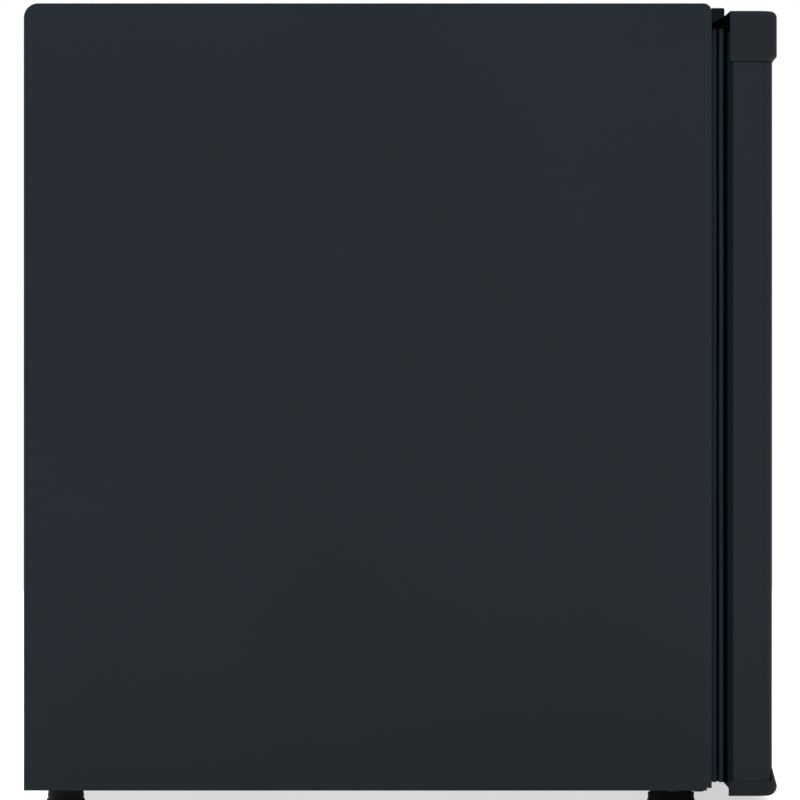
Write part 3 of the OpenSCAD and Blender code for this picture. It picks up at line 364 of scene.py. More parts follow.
def turned(name: str, corners: Sequence[Triple], at: Triple, axis: str = "z", sides: int = 48,
           steps: int = 4) -> Obj:
    """A turned piece, closed at its ends on the axis.

    Args:
        name: The object's name.
        corners: (radius, height, rounding) from one end to the other; a radius of 0 is a pole.
        at: A point on the axis, from which heights count.
        axis: The direction of the axis.
        sides: Number of facets round it.
        steps: Number of facets in each rounding.

    Returns:
        The new object.
    """
    k = "xyz".index(axis)
    units = Matrix.Identity(3)
    u, v, w = units[(k + 1) % 3], units[(k + 2) % 3], units[k]
    origin = Vector(at)
    verts: list[Vector] = []
    rows: list[list[int]] = []
    for r, h in rounded(corners, steps, closed=False):
        if r <= MERGE:
            verts.append(origin + w * h)
            rows.append([len(verts) - 1] * sides)
            continue
        row = []
        for t in turns(sides):
            verts.append(origin + u * (r * math.cos(t)) + v * (r * math.sin(t)) + w * h)
            row.append(len(verts) - 1)
        rows.append(row)
    faces: list[list[int]] = []
    for a, b in zip(rows, rows[1:]):
        for i in range(sides):
            j = (i + 1) % sides
            ring = [a[i], a[j], b[j], b[i]]
            unique = list(dict.fromkeys(ring))
            if len(unique) > 2:
                faces.append(unique)
    for row in (rows[0], rows[-1]):
        if row[0] != row[1]:
            faces.append(row)
    return mesh_object(name, verts, faces)


def loop_solid(name: str, profile: Sequence[Pair], x: float, z0: float, z1: float, along: int = 1,
               sway: Callable[[float, float, float], float] | None = None) -> Obj:
    """A profile carried round a rectangle with mitred corners.

    Args:
        name: The object's name.
        profile: Closed outline of (inward from the outer edge, y).
        x: Half the width of the rectangle.
        z0: Its lower edge.
        z1: Its upper edge.
        along: Number of divisions of each straight side.
        sway: Extra y for a profile point, from its inset, its y and the way round.

    Returns:
        The new object.
    """
    rings: list[list[Triple]] = []
    corners = [(-1, 0), (1, 0), (1, 1), (-1, 1)]
    for side in range(4):
        for k in range(along):
            t = k / along
            ring = []
            for inset, y in profile:
                ends = []
                for sx, top in (corners[side], corners[(side + 1) % 4]):
                    ends.append((sx * (x - inset), z1 - inset if top else z0 + inset))
                px = ends[0][0] + (ends[1][0] - ends[0][0]) * t
                pz = ends[0][1] + (ends[1][1] - ends[0][1]) * t
                dy = sway(inset, y, side + t) if sway else 0.0
                ring.append((px, y + dy, pz))
            rings.append(ring)
    return loft(name, rings, closed=True)


def block(name: str, x: Pair, y: Pair, z: Pair) -> Obj:
    """A plain block between two faces on each axis."""
    verts = [(a, b, c) for a in x for b in y for c in z]
    faces = [[0, 1, 3, 2], [4, 6, 7, 5], [0, 4, 5, 1], [2, 3, 7, 6], [0, 2, 6, 4], [1, 5, 7, 3]]
    return mesh_object(name, verts, faces)


def soft_block(name: str, x: Pair, y: Pair, z: Pair, radius: float, steps: int = 3) -> Obj:
    """A block between two faces on each axis, with every edge rounded."""
    obj = block(name, x, y, z)
    bevel_mesh(obj, radius, steps, 30)
    return obj


def bevel_mesh(obj: Obj, width: float, steps: int, angle: float) -> None:
    """Rounds the edges that are sharper than an angle in degrees, by a width in millimetres."""
    mod = obj.modifiers.new("rounding", "BEVEL")
    mod.width, mod.segments, mod.limit_method = width * MM, steps, "ANGLE"
    mod.angle_limit = math.radians(angle)
    mod.use_clamp_overlap = True
    settle(obj)


def round_edges(obj: Obj, pick: Callable[[Vector, Vector], bool], radius: float, steps: int) -> None:
    """Rounds chosen edges of a piece.

    Args:
        obj: The piece.
        pick: Says from an edge's two ends, in millimetres, whether it is rounded.
        radius: Radius in millimetres.
        steps: Facets in the rounding.
    """
    with opened(obj.data) as bm:
        edges = [
            e for e in bm.edges
            if len(e.link_faces) == 2 and e.calc_face_angle(0) > LEAST_FOLD
            and pick(e.verts[0].co / MM, e.verts[1].co / MM)
        ]
        bmesh.ops.bevel(bm, geom=edges, offset=radius * MM, segments=steps, profile=0.5,
                        affect="EDGES", clamp_overlap=True)


def settle(obj: Obj) -> None:
    """Turns a piece with modifiers into a plain mesh."""
    mesh = evaluated(obj)
    mesh.name = obj.name
    obj.modifiers.clear()
    obj.data = mesh


def join(name: str, objs: Sequence[Obj]) -> Obj:
    """Joins several closed shells into one piece.

    Args:
        name: Name of the joined piece.
        objs: The shells; they are removed.

    Returns:
        The joined piece, with each shell's own materials.
    """
    mats: list[Mat] = []
    bm = bmesh.new()
    for obj in objs:
        start = len(bm.faces)
        slots = [s.material for s in obj.material_slots]
        bm.from_mesh(obj.data)
        bm.faces.ensure_lookup_table()
        for face in bm.faces[start:]:
            mat = slots[face.material_index] if slots else None
            if mat is not None and mat not in mats:
                mats.append(mat)
            face.material_index = mats.index(mat) if mat in mats else 0
    mesh = bpy.data.meshes.new(name)
    bm.to_mesh(mesh)
    bm.free()
    for mat in mats:
        mesh.materials.append(mat)
    for obj in objs:
        bpy.data.objects.remove(obj)
    return linked(name, mesh)


def traced(node: str, name: str) -> Obj:
    """A workable copy of a node: its points merged and its flat faces joined.

    Args:
        node: The node to copy.
        name: Name of the copy.

    Returns:
        The copy, linked to the scene.
    """
    bm = bmesh.new()
    bm.from_mesh(FRAME_NODES[node].data)
    bmesh.ops.remove_doubles(bm, verts=bm.verts, dist=WELD)
    bmesh.ops.dissolve_limit(bm, angle_limit=FLAT, verts=bm.verts, edges=bm.edges)
    mesh = bpy.data.meshes.new(name)
    bm.to_mesh(mesh)
    bm.free()
    return linked(name, mesh)


def smooth(obj: Obj, angle: float = 32.0, weighted: bool = True) -> None:
    """Shades a piece smooth but for its sharp edges; weighted keeps large faces flat."""
    obj.data.shade_smooth()
    obj.data.set_sharp_from_angle(angle=math.radians(angle))
    if weighted:
        mod = obj.modifiers.new("weighting", "WEIGHTED_NORMAL")
        mod.keep_sharp = True
        settle(obj)


# ---------------------------------------------------------------- shared effects


def effect(name: str, inputs: dict[str, float], outputs: Sequence[str],
           fill: Callable[[Tree, Node, Node], None]) -> Tree:
    """Makes a shader node group for an effect that several finishes use.

    Args:
        name: Name of the group.
        inputs: Each plain input and its default.
        outputs: The name of each output.
        fill: Adds the nodes between the group's input and output nodes.

    Returns:
        The group, made once.
    """
    if name in bpy.data.node_groups:
        return bpy.data.node_groups[name]
    tree = bpy.data.node_groups.new(name, "ShaderNodeTree")
    for label, value in inputs.items():
        sock = tree.interface.new_socket(name=label, in_out="INPUT", socket_type="NodeSocketFloat")
        sock.default_value = value
    for label in outputs:
        tree.interface.new_socket(name=label, in_out="OUTPUT", socket_type="NodeSocketFloat")
    fill(tree, tree.nodes.new("NodeGroupInput"), tree.nodes.new("NodeGroupOutput"))
    return tree


def add_node(tree: Tree, kind: str, inputs: dict[str | int, object] | None = None, **props: object) -> Node:
    """Adds a node to a tree.

    Args:
        tree: The tree.
        kind: The node's type.
        inputs: A value or a socket for each of its inputs, by name or place.
        **props: Properties of the node itself.

    Returns:
        The node.
    """
    node = tree.nodes.new(kind)
    for key, value in props.items():
        setattr(node, key, value)
    for key, value in (inputs or {}).items():
        if isinstance(value, Socket):
            tree.links.new(value, node.inputs[key])
        else:
            node.inputs[key].default_value = value
    return node


def math_node(tree: Tree, op: str, a: Socket | float, b: Socket | float = 0.0) -> Socket:
    """Adds a Math node of two values or sockets, and gives its result."""
    return add_node(tree, "ShaderNodeMath", {0: a, 1: b}, operation=op).outputs[0]


def mapped(tree: Tree, value: Socket, source: Pair, target: Sequence[Socket | float],
           kind: str = "SMOOTHSTEP") -> Socket:
    """Maps a value from one span onto another, whose ends may be sockets."""
    ends = {"Value": value, "From Min": source[0], "From Max": source[1], "To Min": target[0],
            "To Max": target[1]}
    return add_node(tree, "ShaderNodeMapRange", ends, interpolation_type=kind).outputs["Result"]


def object_noise(tree: Tree, scale: Socket | float, detail: float, stretch: Triple | None = None) -> Socket:
    """Adds noise on object coordinates, in cells per metre; stretch scales each axis."""
    vector = add_node(tree, "ShaderNodeTexCoord").outputs["Object"]
    if stretch is not None:
        vector = add_node(tree, "ShaderNodeMapping", {"Vector": vector, "Scale": stretch}).outputs["Vector"]
    noise = add_node(tree, "ShaderNodeTexNoise", {"Vector": vector, "Scale": scale, "Detail": detail})
    return noise.outputs["Fac"]


def fine_grain() -> Tree:
    """The texture of a sprayed or spark-eroded surface: a height from two sizes of noise."""

    def fill(tree: Tree, start: Node, end: Node) -> None:
        """Sums a fine and a coarse noise."""
        fine = object_noise(tree, start.outputs["Scale"], 2.0)
        coarse = object_noise(tree, math_node(tree, "MULTIPLY", start.outputs["Scale"], 0.23), 1.0)
        mixed = math_node(tree, "ADD", math_node(tree, "MULTIPLY", fine, start.outputs["Fine"]),
                          math_node(tree, "MULTIPLY", coarse, start.outputs["Coarse"]))
        tree.links.new(mixed, end.inputs["Height"])

    return effect("fine_grain", {"Scale": 900.0, "Fine": 0.6, "Coarse": 0.4}, ["Height"], fill)


def slow_drift() -> Tree:
    """Slow variation across a surface, between two values."""

    def fill(tree: Tree, start: Node, end: Node) -> None:
        """Maps a large noise onto the two values."""
        noise = object_noise(tree, start.outputs["Scale"], 1.0)
        span = mapped(tree, noise, (0.15, 0.85), (start.outputs["Low"], start.outputs["High"]))
        tree.links.new(span, end.inputs["Value"])

    return effect("slow_drift", {"Scale": 6.0, "Low": 0.4, "High": 0.5}, ["Value"], fill)


def settled_dust() -> Tree:
    """A mask of the faint dust on faces that look up."""

    def fill(tree: Tree, start: Node, end: Node) -> None:
        """Multiplies the upward part of the normal by a noise."""
        geometry = add_node(tree, "ShaderNodeNewGeometry")
        split = add_node(tree, "ShaderNodeSeparateXYZ", {0: geometry.outputs["Normal"]})
        up = math_node(tree, "POWER", math_node(tree, "MAXIMUM", split.outputs["Z"], 0.0), 3.0)
        noise = object_noise(tree, 60.0, 6.0)
        level = math_node(tree, "MULTIPLY", math_node(tree, "MULTIPLY", up, noise), start.outputs["Amount"])
        tree.links.new(level, end.inputs["Mask"])

    return effect("settled_dust", {"Amount": 0.1}, ["Mask"], fill)


def drawn_lines() -> Tree:
    """The fine straight lines of rolled or drawn metal: a height and a tone."""

    def fill(tree: Tree, start: Node, end: Node) -> None:
        """Stretches a noise far along one axis."""
        noise = object_noise(tree, start.outputs["Scale"], 3.0, (1.0, 0.02, 1.0))
        tree.links.new(noise, end.inputs["Height"])
        swing = math_node(tree, "MULTIPLY", noise, start.outputs["Contrast"])
        middle = math_node(tree, "SUBTRACT", 1.0, math_node(tree, "MULTIPLY", start.outputs["Contrast"], 0.5))
        tree.links.new(math_node(tree, "ADD", swing, middle), end.inputs["Tone"])

    return effect("drawn_lines", {"Scale": 700.0, "Contrast": 0.2}, ["Height", "Tone"], fill)


# ---------------------------------------------------------------- finishes


class Recipe:
    """A material in the making, with its shader and short calls for its nodes."""

    def __init__(self, name: str) -> None:
        """Starts the material with one Principled shader."""
        self.mat = bpy.data.materials.new(name)
        self.mat.use_nodes = True
        self.tree = self.mat.node_tree
        self.shader = next(n for n in self.tree.nodes if n.type == "BSDF_PRINCIPLED")

    def fixed(self, **values: object) -> None:
        """Sets plain values on the shader's own sockets; _ stands for a space."""
        for key, value in values.items():
            self.shader.inputs[key.replace("_", " ")].default_value = value

    def group(self, tree: Tree, **values: float) -> Node:
        """Places an effect with its own values."""
        return add_node(self.tree, "ShaderNodeGroup", values, node_tree=tree)

    def link(self, out: Socket, key: str) -> None:
        """Feeds a socket of the shader."""
        self.tree.links.new(out, self.shader.inputs[key])

    def drifting(self, scale: float, low: float = 0.0, high: float = 1.0) -> Socket:
        """A value that varies slowly across the surface, between two values."""
        return self.group(slow_drift(), Scale=scale, Low=low, High=high).outputs["Value"]

    def blend(self, mask: Socket, low: Rgb | Socket, high: Rgb) -> Socket:
        """Mixes two colours by a mask, where 0 gives the first."""
        first = low if isinstance(low, Socket) else (*low, 1)
        mix = add_node(self.tree, "ShaderNodeMix", {0: mask, 6: first, 7: (*high, 1)}, data_type="RGBA")
        return mix.outputs[2]

    def cells(self, scale: float) -> Node:
        """Voronoi cells on object coordinates."""
        place = add_node(self.tree, "ShaderNodeTexCoord").outputs["Object"]
        return add_node(self.tree, "ShaderNodeTexVoronoi", {"Vector": place, "Scale": scale})

    def relief(self, height: Socket, strength: float, depth_mm: float) -> None:
        """Bumps the surface by a height, where a height of one is some millimetres deep."""
        values = {"Strength": strength, "Distance": depth_mm * MM, "Height": height}
        self.link(add_node(self.tree, "ShaderNodeBump", values).outputs["Normal"], "Normal")


@dataclass(frozen=True)
class Coating:
    """An opaque coating or moulding: two close tones, a fine texture and a sheen."""

    name: str
    low: Rgb
    high: Rgb
    roughness: Pair
    grain: float
    depth_mm: float
    level: float = 0.5
    coat: float = 0.0
    dust: float = 0.0
    drift: float = 6.0
    dust_tone: Rgb = (0.42, 0.40, 0.37)

    def make(self) -> Mat:
        """Builds the material."""
        r = Recipe(self.name)
        r.fixed(Specular_IOR_Level=self.level, Coat_Weight=self.coat, Coat_Roughness=0.25)
        colour = r.blend(r.drifting(self.drift), self.low, self.high)
        if self.dust:
            mask = r.group(settled_dust(), Amount=self.dust).outputs["Mask"]
            colour = r.blend(mask, colour, self.dust_tone)
        r.link(colour, "Base Color")
        r.link(r.drifting(self.drift * 2.3, *self.roughness), "Roughness")
        grain = r.group(fine_grain(), Scale=self.grain)
        r.relief(grain.outputs["Height"], 0.5, self.depth_mm)
        return r.mat


@dataclass(frozen=True)
class Metal:
    """A bare metal with the fine lines of its rolling or drawing."""

    name: str
    colour: Rgb
    roughness: Pair
    lines: float
    contrast: float
    depth_mm: float
    tarnish: Rgb | None = None

    def make(self) -> Mat:
        """Builds the material."""
        r = Recipe(self.name)
        r.fixed(Metallic=1.0)
        lines = r.group(drawn_lines(), Scale=self.lines, Contrast=self.contrast)
        colour = r.blend(r.drifting(35.0), self.colour, self.tarnish or self.colour)
        grey = add_node(r.tree, "ShaderNodeCombineColor", {i: lines.outputs["Tone"] for i in range(3)})
        toned = add_node(r.tree, "ShaderNodeMix", {0: 1.0, 6: colour, 7: grey.outputs[0]},
                         data_type="RGBA", blend_type="MULTIPLY")
        r.link(toned.outputs[2], "Base Color")
        r.link(r.drifting(20.0, *self.roughness), "Roughness")
        r.relief(lines.outputs["Height"], 0.4, self.depth_mm)
        return r.mat


@dataclass(frozen=True)
class Spangle:
    """Galvanised sheet: flat crystals that each catch the light their own way."""

    name: str = "galvanised_sheet"
    cells: float = 140.0

    def make(self) -> Mat:
        """Builds the material."""
        r = Recipe(self.name)
        r.fixed(Metallic=1.0)
        split = add_node(r.tree, "ShaderNodeSeparateColor", {0: r.cells(self.cells).outputs["Color"]})
        r.link(r.blend(split.outputs["Red"], (0.46, 0.47, 0.48), (0.54, 0.55, 0.56)), "Base Color")
        r.link(mapped(r.tree, split.outputs["Green"], (0.0, 1.0), (0.36, 0.44), "LINEAR"), "Roughness")
        grain = r.group(fine_grain(), Scale=600.0)
        r.relief(grain.outputs["Height"], 0.3, 0.02)
        return r.mat


@dataclass(frozen=True)
class ClearPlastic:
    """Clear moulded plastic with a cool tint and faint flow lines."""

    name: str
    tint: Rgb
    roughness: Pair

    def make(self) -> Mat:
        """Builds the material."""
        r = Recipe(self.name)
        r.fixed(Transmission_Weight=0.92, IOR=1.49)
        red, green, blue = self.tint
        paler = (min(1.0, red * 1.03), min(1.0, green * 1.02), min(1.0, blue * 1.01))
        r.link(r.blend(r.drifting(14.0), self.tint, paler), "Base Color")
        r.link(r.drifting(9.0, *self.roughness), "Roughness")
        grain = r.group(fine_grain(), Scale=140.0, Fine=0.2, Coarse=0.8)
        r.relief(grain.outputs["Height"], 0.12, 0.05)
        return r.mat


@dataclass(frozen=True)
class PouredFoam:
    """Rigid foam, with its small closed cells."""

    name: str = "rigid_foam"

    def make(self) -> Mat:
        """Builds the material."""
        r = Recipe(self.name)
        cells = r.cells(900.0)
        r.link(r.blend(cells.outputs["Distance"], (0.84, 0.72, 0.42), (0.66, 0.52, 0.26)), "Base Color")
        r.link(r.drifting(20.0, 0.82, 0.95), "Roughness")
        r.relief(cells.outputs["Distance"], 0.7, 0.3)
        return r.mat


class Finishes:
    """Every material of the refrigerator, made once, by the slot that it belongs to."""

    def __init__(self) -> None:
        """Builds the materials."""
        recipes = {
            Slot.PAINTED: Coating("painted_steel", srgb(31, 38, 43), srgb(33, 40, 45), (0.46, 0.52), 950.0,
                                  0.035, level=0.09, dust=0.01),
            Slot.MOULDED: Coating("moulded_cap", srgb(29, 33, 38), srgb(31, 35, 40), (0.48, 0.56), 1500.0,
                                  0.05, level=0.10, dust=0.01),
            Slot.SEAL: Coating("door_seal", srgb(23, 42, 50), srgb(28, 47, 55), (0.50, 0.58), 800.0,
                               0.02, level=0.15, drift=14.0),
            Slot.LINER: Coating("formed_liner", srgb(230, 232, 232), srgb(232, 234, 234), (0.28, 0.33), 260.0,
                                0.03, level=0.5, coat=0.1),
            Slot.CLEAR: ClearPlastic("clear_bin", (0.86, 0.94, 0.96), (0.03, 0.08)),
            Slot.PLATED: Spangle(),
            Slot.ROLL_BOND: Metal("roll_bonded_aluminium", (0.72, 0.74, 0.76), (0.34, 0.44), 420.0, 0.10,
                                  0.02),
            Slot.COPPER: Metal("drawn_copper", (0.78, 0.40, 0.24), (0.26, 0.40), 900.0, 0.12, 0.01,
                               tarnish=(0.50, 0.24, 0.14)),
            Slot.COMPRESSOR: Coating("compressor_enamel", srgb(24, 24, 26), srgb(31, 31, 33), (0.30, 0.42),
                                     420.0, 0.08, level=0.5, dust=0.10),
            Slot.RUBBER: Coating("black_rubber", srgb(23, 23, 24), srgb(31, 31, 32), (0.62, 0.78), 700.0,
                                 0.06, level=0.35, dust=0.06, drift=20.0),
            Slot.FOAM: PouredFoam(),
            Slot.WIRE: Coating("coated_wire", srgb(226, 229, 230), srgb(233, 235, 236), (0.20, 0.28), 500.0,
                               0.03, level=0.5, coat=0.25),
        }
        self.by_slot: dict[Slot, Mat] = {slot: recipe.make() for slot, recipe in recipes.items()}
        self.bright_zinc = Metal("bright_zinc", (0.62, 0.63, 0.62), (0.22, 0.34), 1200.0, 0.14, 0.01).make()
        self.trim_plastic = Coating("trim_plastic", srgb(4, 13, 18), srgb(6, 15, 20), (0.50, 0.58), 1400.0,
                                    0.04, level=0.06).make()
        # Painted shade: a near-black finish for the cap's lip, the seam ring under the cap and the seal's
        # web, standing in for the shade in those gaps.
        self.deep_black = Coating("deep_black", srgb(2, 4, 5), srgb(3, 5, 6), (0.70, 0.80), 900.0,
                                  0.02, level=0.03).make()
        # Dark teal edging plastic, made darker still as painted shade for its recess behind the seal.
        self.edging = Coating("liner_edging", srgb(3, 22, 27), srgb(5, 24, 29), (0.55, 0.62), 900.0,
                              0.02, level=0.05).make()
        self.ink = Coating("moulded_grey_mark", srgb(96, 104, 110), srgb(104, 111, 117), (0.5, 0.6), 600.0,
                           0.01).make()
        self.frost_white = Coating("moulded_white", srgb(238, 241, 242), srgb(243, 245, 246), (0.34, 0.42),
                                   900.0, 0.03, level=0.45).make()
        self.cable_sleeve = Coating("foam_sleeve", srgb(44, 45, 47), srgb(56, 57, 59), (0.8, 0.95), 500.0,
                                    0.25, level=0.2).make()


# ---------------------------------------------------------------- repeated shapes


class Grower:
    """A Geometry Nodes tree in the making."""

    def __init__(self, name: str, inputs: dict[str, str]) -> None:
        """Starts the tree.

        Args:
            name: Name of the tree.
            inputs: The kind of each input, by its name.
        """
        self.tree = bpy.data.node_groups.new(name, "GeometryNodeTree")
        for label, kind in {"Geometry": "Geometry", **inputs}.items():
            self.tree.interface.new_socket(name=label, in_out="INPUT", socket_type=f"NodeSocket{kind}")
        self.tree.interface.new_socket(name="Geometry", in_out="OUTPUT", socket_type="NodeSocketGeometry")
        self.start = self.tree.nodes.new("NodeGroupInput")
        self.end = self.tree.nodes.new("NodeGroupOutput")

    def given(self, name: str) -> Socket:
        """The value of one of the tree's inputs."""
        return self.start.outputs[name]

    def add(self, kind: str, inputs: dict[str | int, object] | None = None, **props: object) -> Node:
        """Adds a node with a value or a socket for each input and its own properties."""
        return add_node(self.tree, kind, inputs, **props)

    def close(self, geometry: Socket, material: Socket) -> Tree:
        """Ends the tree with real geometry and its material."""
        real = self.add("GeometryNodeRealizeInstances", {"Geometry": geometry})
        mat = self.add("GeometryNodeSetMaterial", {"Geometry": real.outputs[0], "Material": material})
        self.tree.links.new(mat.outputs[0], self.end.inputs[0])
        return self.tree


def grown(obj: Obj, tree: Tree, values: dict[str, object]) -> Obj:
    """Runs a tree on an object and keeps the result as a plain mesh.

    Args:
        obj: The object that the tree starts from; a curve is replaced by a mesh object.
        tree: The tree.
        values: Values of its inputs, by name.

    Returns:
        The finished mesh object, of the same name.
    """
    mod = obj.modifiers.new("grower", "NODES")
    mod.node_group = tree
    for item in tree.interface.items_tree:
        if item.item_type == "SOCKET" and item.in_out == "INPUT" and item.name in values:
            mod[item.identifier] = values[item.name]
    mesh = evaluated(obj)
    name = obj.name
    obj.modifiers.clear()
    bpy.data.objects.remove(obj)
    mesh.name = name
    return linked(name, mesh)


class Growers:
    """The Geometry Nodes trees that the pieces share, each made once."""

    def __init__(self) -> None:
        """Builds the trees."""
        self.placed = self._placed()
        self.beaded = self._beaded()
        self.row = self._row()

    @staticmethod
    def _placed() -> Tree:
        """Puts a copy of a part on every point, turned by one rotation and by chance about its axis."""
        g = Grower("placed_parts", {"Part": "Object", "Turn": "Vector", "Spin": "Float", "Seed": "Int",
                                    "Material": "Material"})
        part = g.add("GeometryNodeObjectInfo", {"Object": g.given("Part")})
        chance = g.add("FunctionNodeRandomValue", {"Seed": g.given("Seed")}, data_type="FLOAT")
        spin = g.add("ShaderNodeMath", {0: chance.outputs[1], 1: g.given("Spin")}, operation="MULTIPLY")
        axis = g.add("ShaderNodeCombineXYZ", {"Z": spin.outputs[0]})
        on = g.add("GeometryNodeInstanceOnPoints", {
            "Points": g.given("Geometry"), "Instance": part.outputs["Geometry"], "Rotation": g.given("Turn")})
        turned_on = g.add("GeometryNodeRotateInstances", {
            "Instances": on.outputs[0], "Rotation": axis.outputs[0]})
        return g.close(turned_on.outputs[0], g.given("Material"))

    @staticmethod
    def _beaded() -> Tree:
        """Lays a round or flattened bead along a path whose corners it rounds."""
        g = Grower("beaded_path", {"Width": "Float", "Height": "Float", "Corner": "Float", "Facets": "Int",
                                   "Up": "Vector", "Material": "Material"})
        held = g.add("GeometryNodeSetCurveNormal", {"Curve": g.given("Geometry"), "Normal": g.given("Up")},
                     mode="FREE")
        fillet = g.add("GeometryNodeFilletCurve", {
            "Curve": held.outputs[0], "Radius": g.given("Corner"), "Count": 8, "Limit Radius": True},
            mode="POLY")
        ring = g.add("GeometryNodeCurvePrimitiveCircle", {"Resolution": g.given("Facets"), "Radius": 0.5},
                     mode="RADIUS")
        size = g.add("ShaderNodeCombineXYZ", {"X": g.given("Height"), "Y": g.given("Width"), "Z": 1.0})
        profile = g.add("GeometryNodeTransform", {"Geometry": ring.outputs[0], "Scale": size.outputs[0]})
        solid = g.add("GeometryNodeCurveToMesh", {
            "Curve": fillet.outputs[0], "Profile Curve": profile.outputs[0], "Fill Caps": True})
        shade = g.add("GeometryNodeSetShadeSmooth", {"Geometry": solid.outputs[0]})
        return g.close(shade.outputs[0], g.given("Material"))

    @staticmethod
    def _row() -> Tree:
        """Repeats a part a number of times along a step."""
        g = Grower("repeated_row", {"Part": "Object", "Count": "Int", "Step": "Vector", "Start": "Vector",
                                    "Material": "Material"})
        part = g.add("GeometryNodeObjectInfo", {"Object": g.given("Part")})
        line = g.add("GeometryNodeMeshLine", {"Count": g.given("Count"), "Start Location": g.given("Start"),
                                              "Offset": g.given("Step")}, mode="OFFSET")
        on = g.add("GeometryNodeInstanceOnPoints", {
            "Points": line.outputs[0], "Instance": part.outputs["Geometry"]})
        return g.close(on.outputs[0], g.given("Material"))


def path_object(name: str, points: Sequence[Triple], closed: bool = False) -> Obj:
    """A straight-edged path through points, for a tree to follow.

    Args:
        name: Name of the object.
        points: Points in millimetres.
        closed: True if the last joins the first.

    Returns:
        The curve object.
    """
    curve = bpy.data.curves.new(name, "CURVE")
    curve.dimensions = "3D"
    spline = curve.splines.new("POLY")
    spline.points.add(len(points) - 1)
    for point, p in zip(spline.points, points):
        point.co = (*metres(p), 1)
    spline.use_cyclic_u = closed
    return linked(name, curve)


def point_object(name: str, points: Sequence[Triple]) -> Obj:
    """Loose points for a tree to put parts on, in millimetres."""
    mesh = bpy.data.meshes.new(name)
    mesh.from_pydata([metres(p) for p in points], [], [])
    return linked(name, mesh)


# ---------------------------------------------------------------- the workshop


class Workshop:
    """What every sub-assembly shares: finishes, trees, and how a finished piece is handed over."""

    def __init__(self) -> None:
        """Makes the finishes and the trees."""
        self.finishes = Finishes()
        self.growers = Growers()

    def finish(self, slot: Slot) -> Mat:
        """The material of a slot."""
        return self.finishes.by_slot[slot]

    def hand_over(self, obj: Obj, body: Body, slot: Slot, *nodes: str, material: Mat | None = None,
                  angle: float = 32.0, weighted: bool = True) -> None:
        """Finishes a piece: shading, material and body.

        Args:
            obj: The piece.
            body: The body that it rides on.
            slot: The slot that it takes its finish from.
            *nodes: Nodes of the frame that it stands for.
            material: Its material, if not the slot's own.
            angle: Edges sharper than this stay crisp.
            weighted: True if large faces keep flat shading.
        """
        if not obj.data.materials:
            obj.data.materials.append(material or self.finish(slot))
        smooth(obj, angle, weighted)
        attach(obj, body.value)
        if nodes:
            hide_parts(*nodes)
        LOG.info("%s: %d faces on %s", obj.name, len(obj.data.polygons), body.value)

    def refine(self, node: str, slot: Slot, radius: float, steps: int = 2, material: Mat | None = None,
               body: Body = Body.CABINET) -> None:
        """Gives a node's own shape real edges and hands it over.

        Args:
            node: The node.
            slot: Its slot.
            radius: Radius of its edges, 0 for none.
            steps: Facets in each edge.
            material: Its material, if not the slot's own.
            body: The body that it rides on.
        """
        obj = self.shaped(node, f"{node}_finished", material or self.finish(slot), radius, steps)
        self.hand_over(obj, body, slot, node)

    @staticmethod
    def shaped(node: str, name: str, material: Mat, radius: float, steps: int = 3,
               angle: float = 38.0) -> Obj:
        """A dressed copy of a node's own shape.

        Args:
            node: The node.
            name: Name of the copy.
            material: Its material.
            radius: Radius of its edges, 0 for none.
            steps: Facets in each edge.
            angle: Edges sharper than this are rounded.

        Returns:
            The copy.
        """
        obj = traced(node, name)
        if radius:
            bevel_mesh(obj, radius, steps, angle)
        return dress(obj, material)

    def keep(self, node: str, slot: Slot) -> None:
        """Gives a node that stays its slot's material."""
        dress(FRAME_NODES[node], self.finish(slot))
        LOG.info("%s: kept", node)

    def bead(self, name: str, points: Sequence[Triple], width: float, height: float, corner: float,
             material: Mat, closed: bool = False, facets: int = 12,
             up: Triple = (0.0, 0.0, 1.0)) -> Obj:
        """A round or flattened bead along a path.

        Args:
            name: Name of the piece.
            points: The path's corners in millimetres.
            width: Width across the path.
            height: Height across the path.
            corner: Radius of its bends.
            material: Its material.
            closed: True if the path is closed.
            facets: Facets round the bead.
            up: The direction of its height.

        Returns:
            The piece.
        """
        values = {"Width": width * MM, "Height": height * MM, "Corner": corner * MM, "Facets": facets,
                  "Up": up, "Material": material}
        return grown(path_object(name, points, closed), self.growers.beaded, values)

    def row(self, name: str, part: Obj, count: int, start: Triple, step: Triple,
            material: Mat) -> Obj:
        """Repeats a part along a step and removes the part.

        Args:
            name: Name of the piece.
            part: The part, made about the origin.
            count: How many.
            start: Place of the first, in millimetres.
            step: From one to the next, in millimetres.
            material: Their material.

        Returns:
            The piece.
        """
        values = {"Part": part, "Count": count, "Step": metres(step), "Start": metres(start),
                  "Material": material}
        out = grown(point_object(name, [(0, 0, 0)]), self.growers.row, values)
        bpy.data.objects.remove(part)
        return out

    def spread(self, name: str, part: Obj, points: Sequence[Triple], turn: Triple, spin: float,
               material: Mat) -> Obj:
        """Puts a part on each point and removes the part.

        Args:
            name: Name of the piece.
            part: The part, made about the origin with its axis up.
            points: Where it goes, in millimetres.
            turn: Its rotation, in degrees.
            spin: Greatest chance turn about its own axis, in degrees.
            material: Their material.

        Returns:
            The piece.
        """
        values = {"Part": part, "Turn": tuple(math.radians(a) for a in turn), "Spin": math.radians(spin),
                  "Seed": SEED, "Material": material}
        out = grown(point_object(name, points), self.growers.placed, values)
        bpy.data.objects.remove(part)
        return out


def cut_away(obj: Obj, *cutters: Obj) -> None:
    """Cuts shapes out of a closed piece and removes the cutters."""
    for cutter in cutters:
        mod = obj.modifiers.new("cut", "BOOLEAN")
        mod.operation, mod.solver, mod.object = "DIFFERENCE", "EXACT", cutter
        settle(obj)
        bpy.data.objects.remove(cutter)


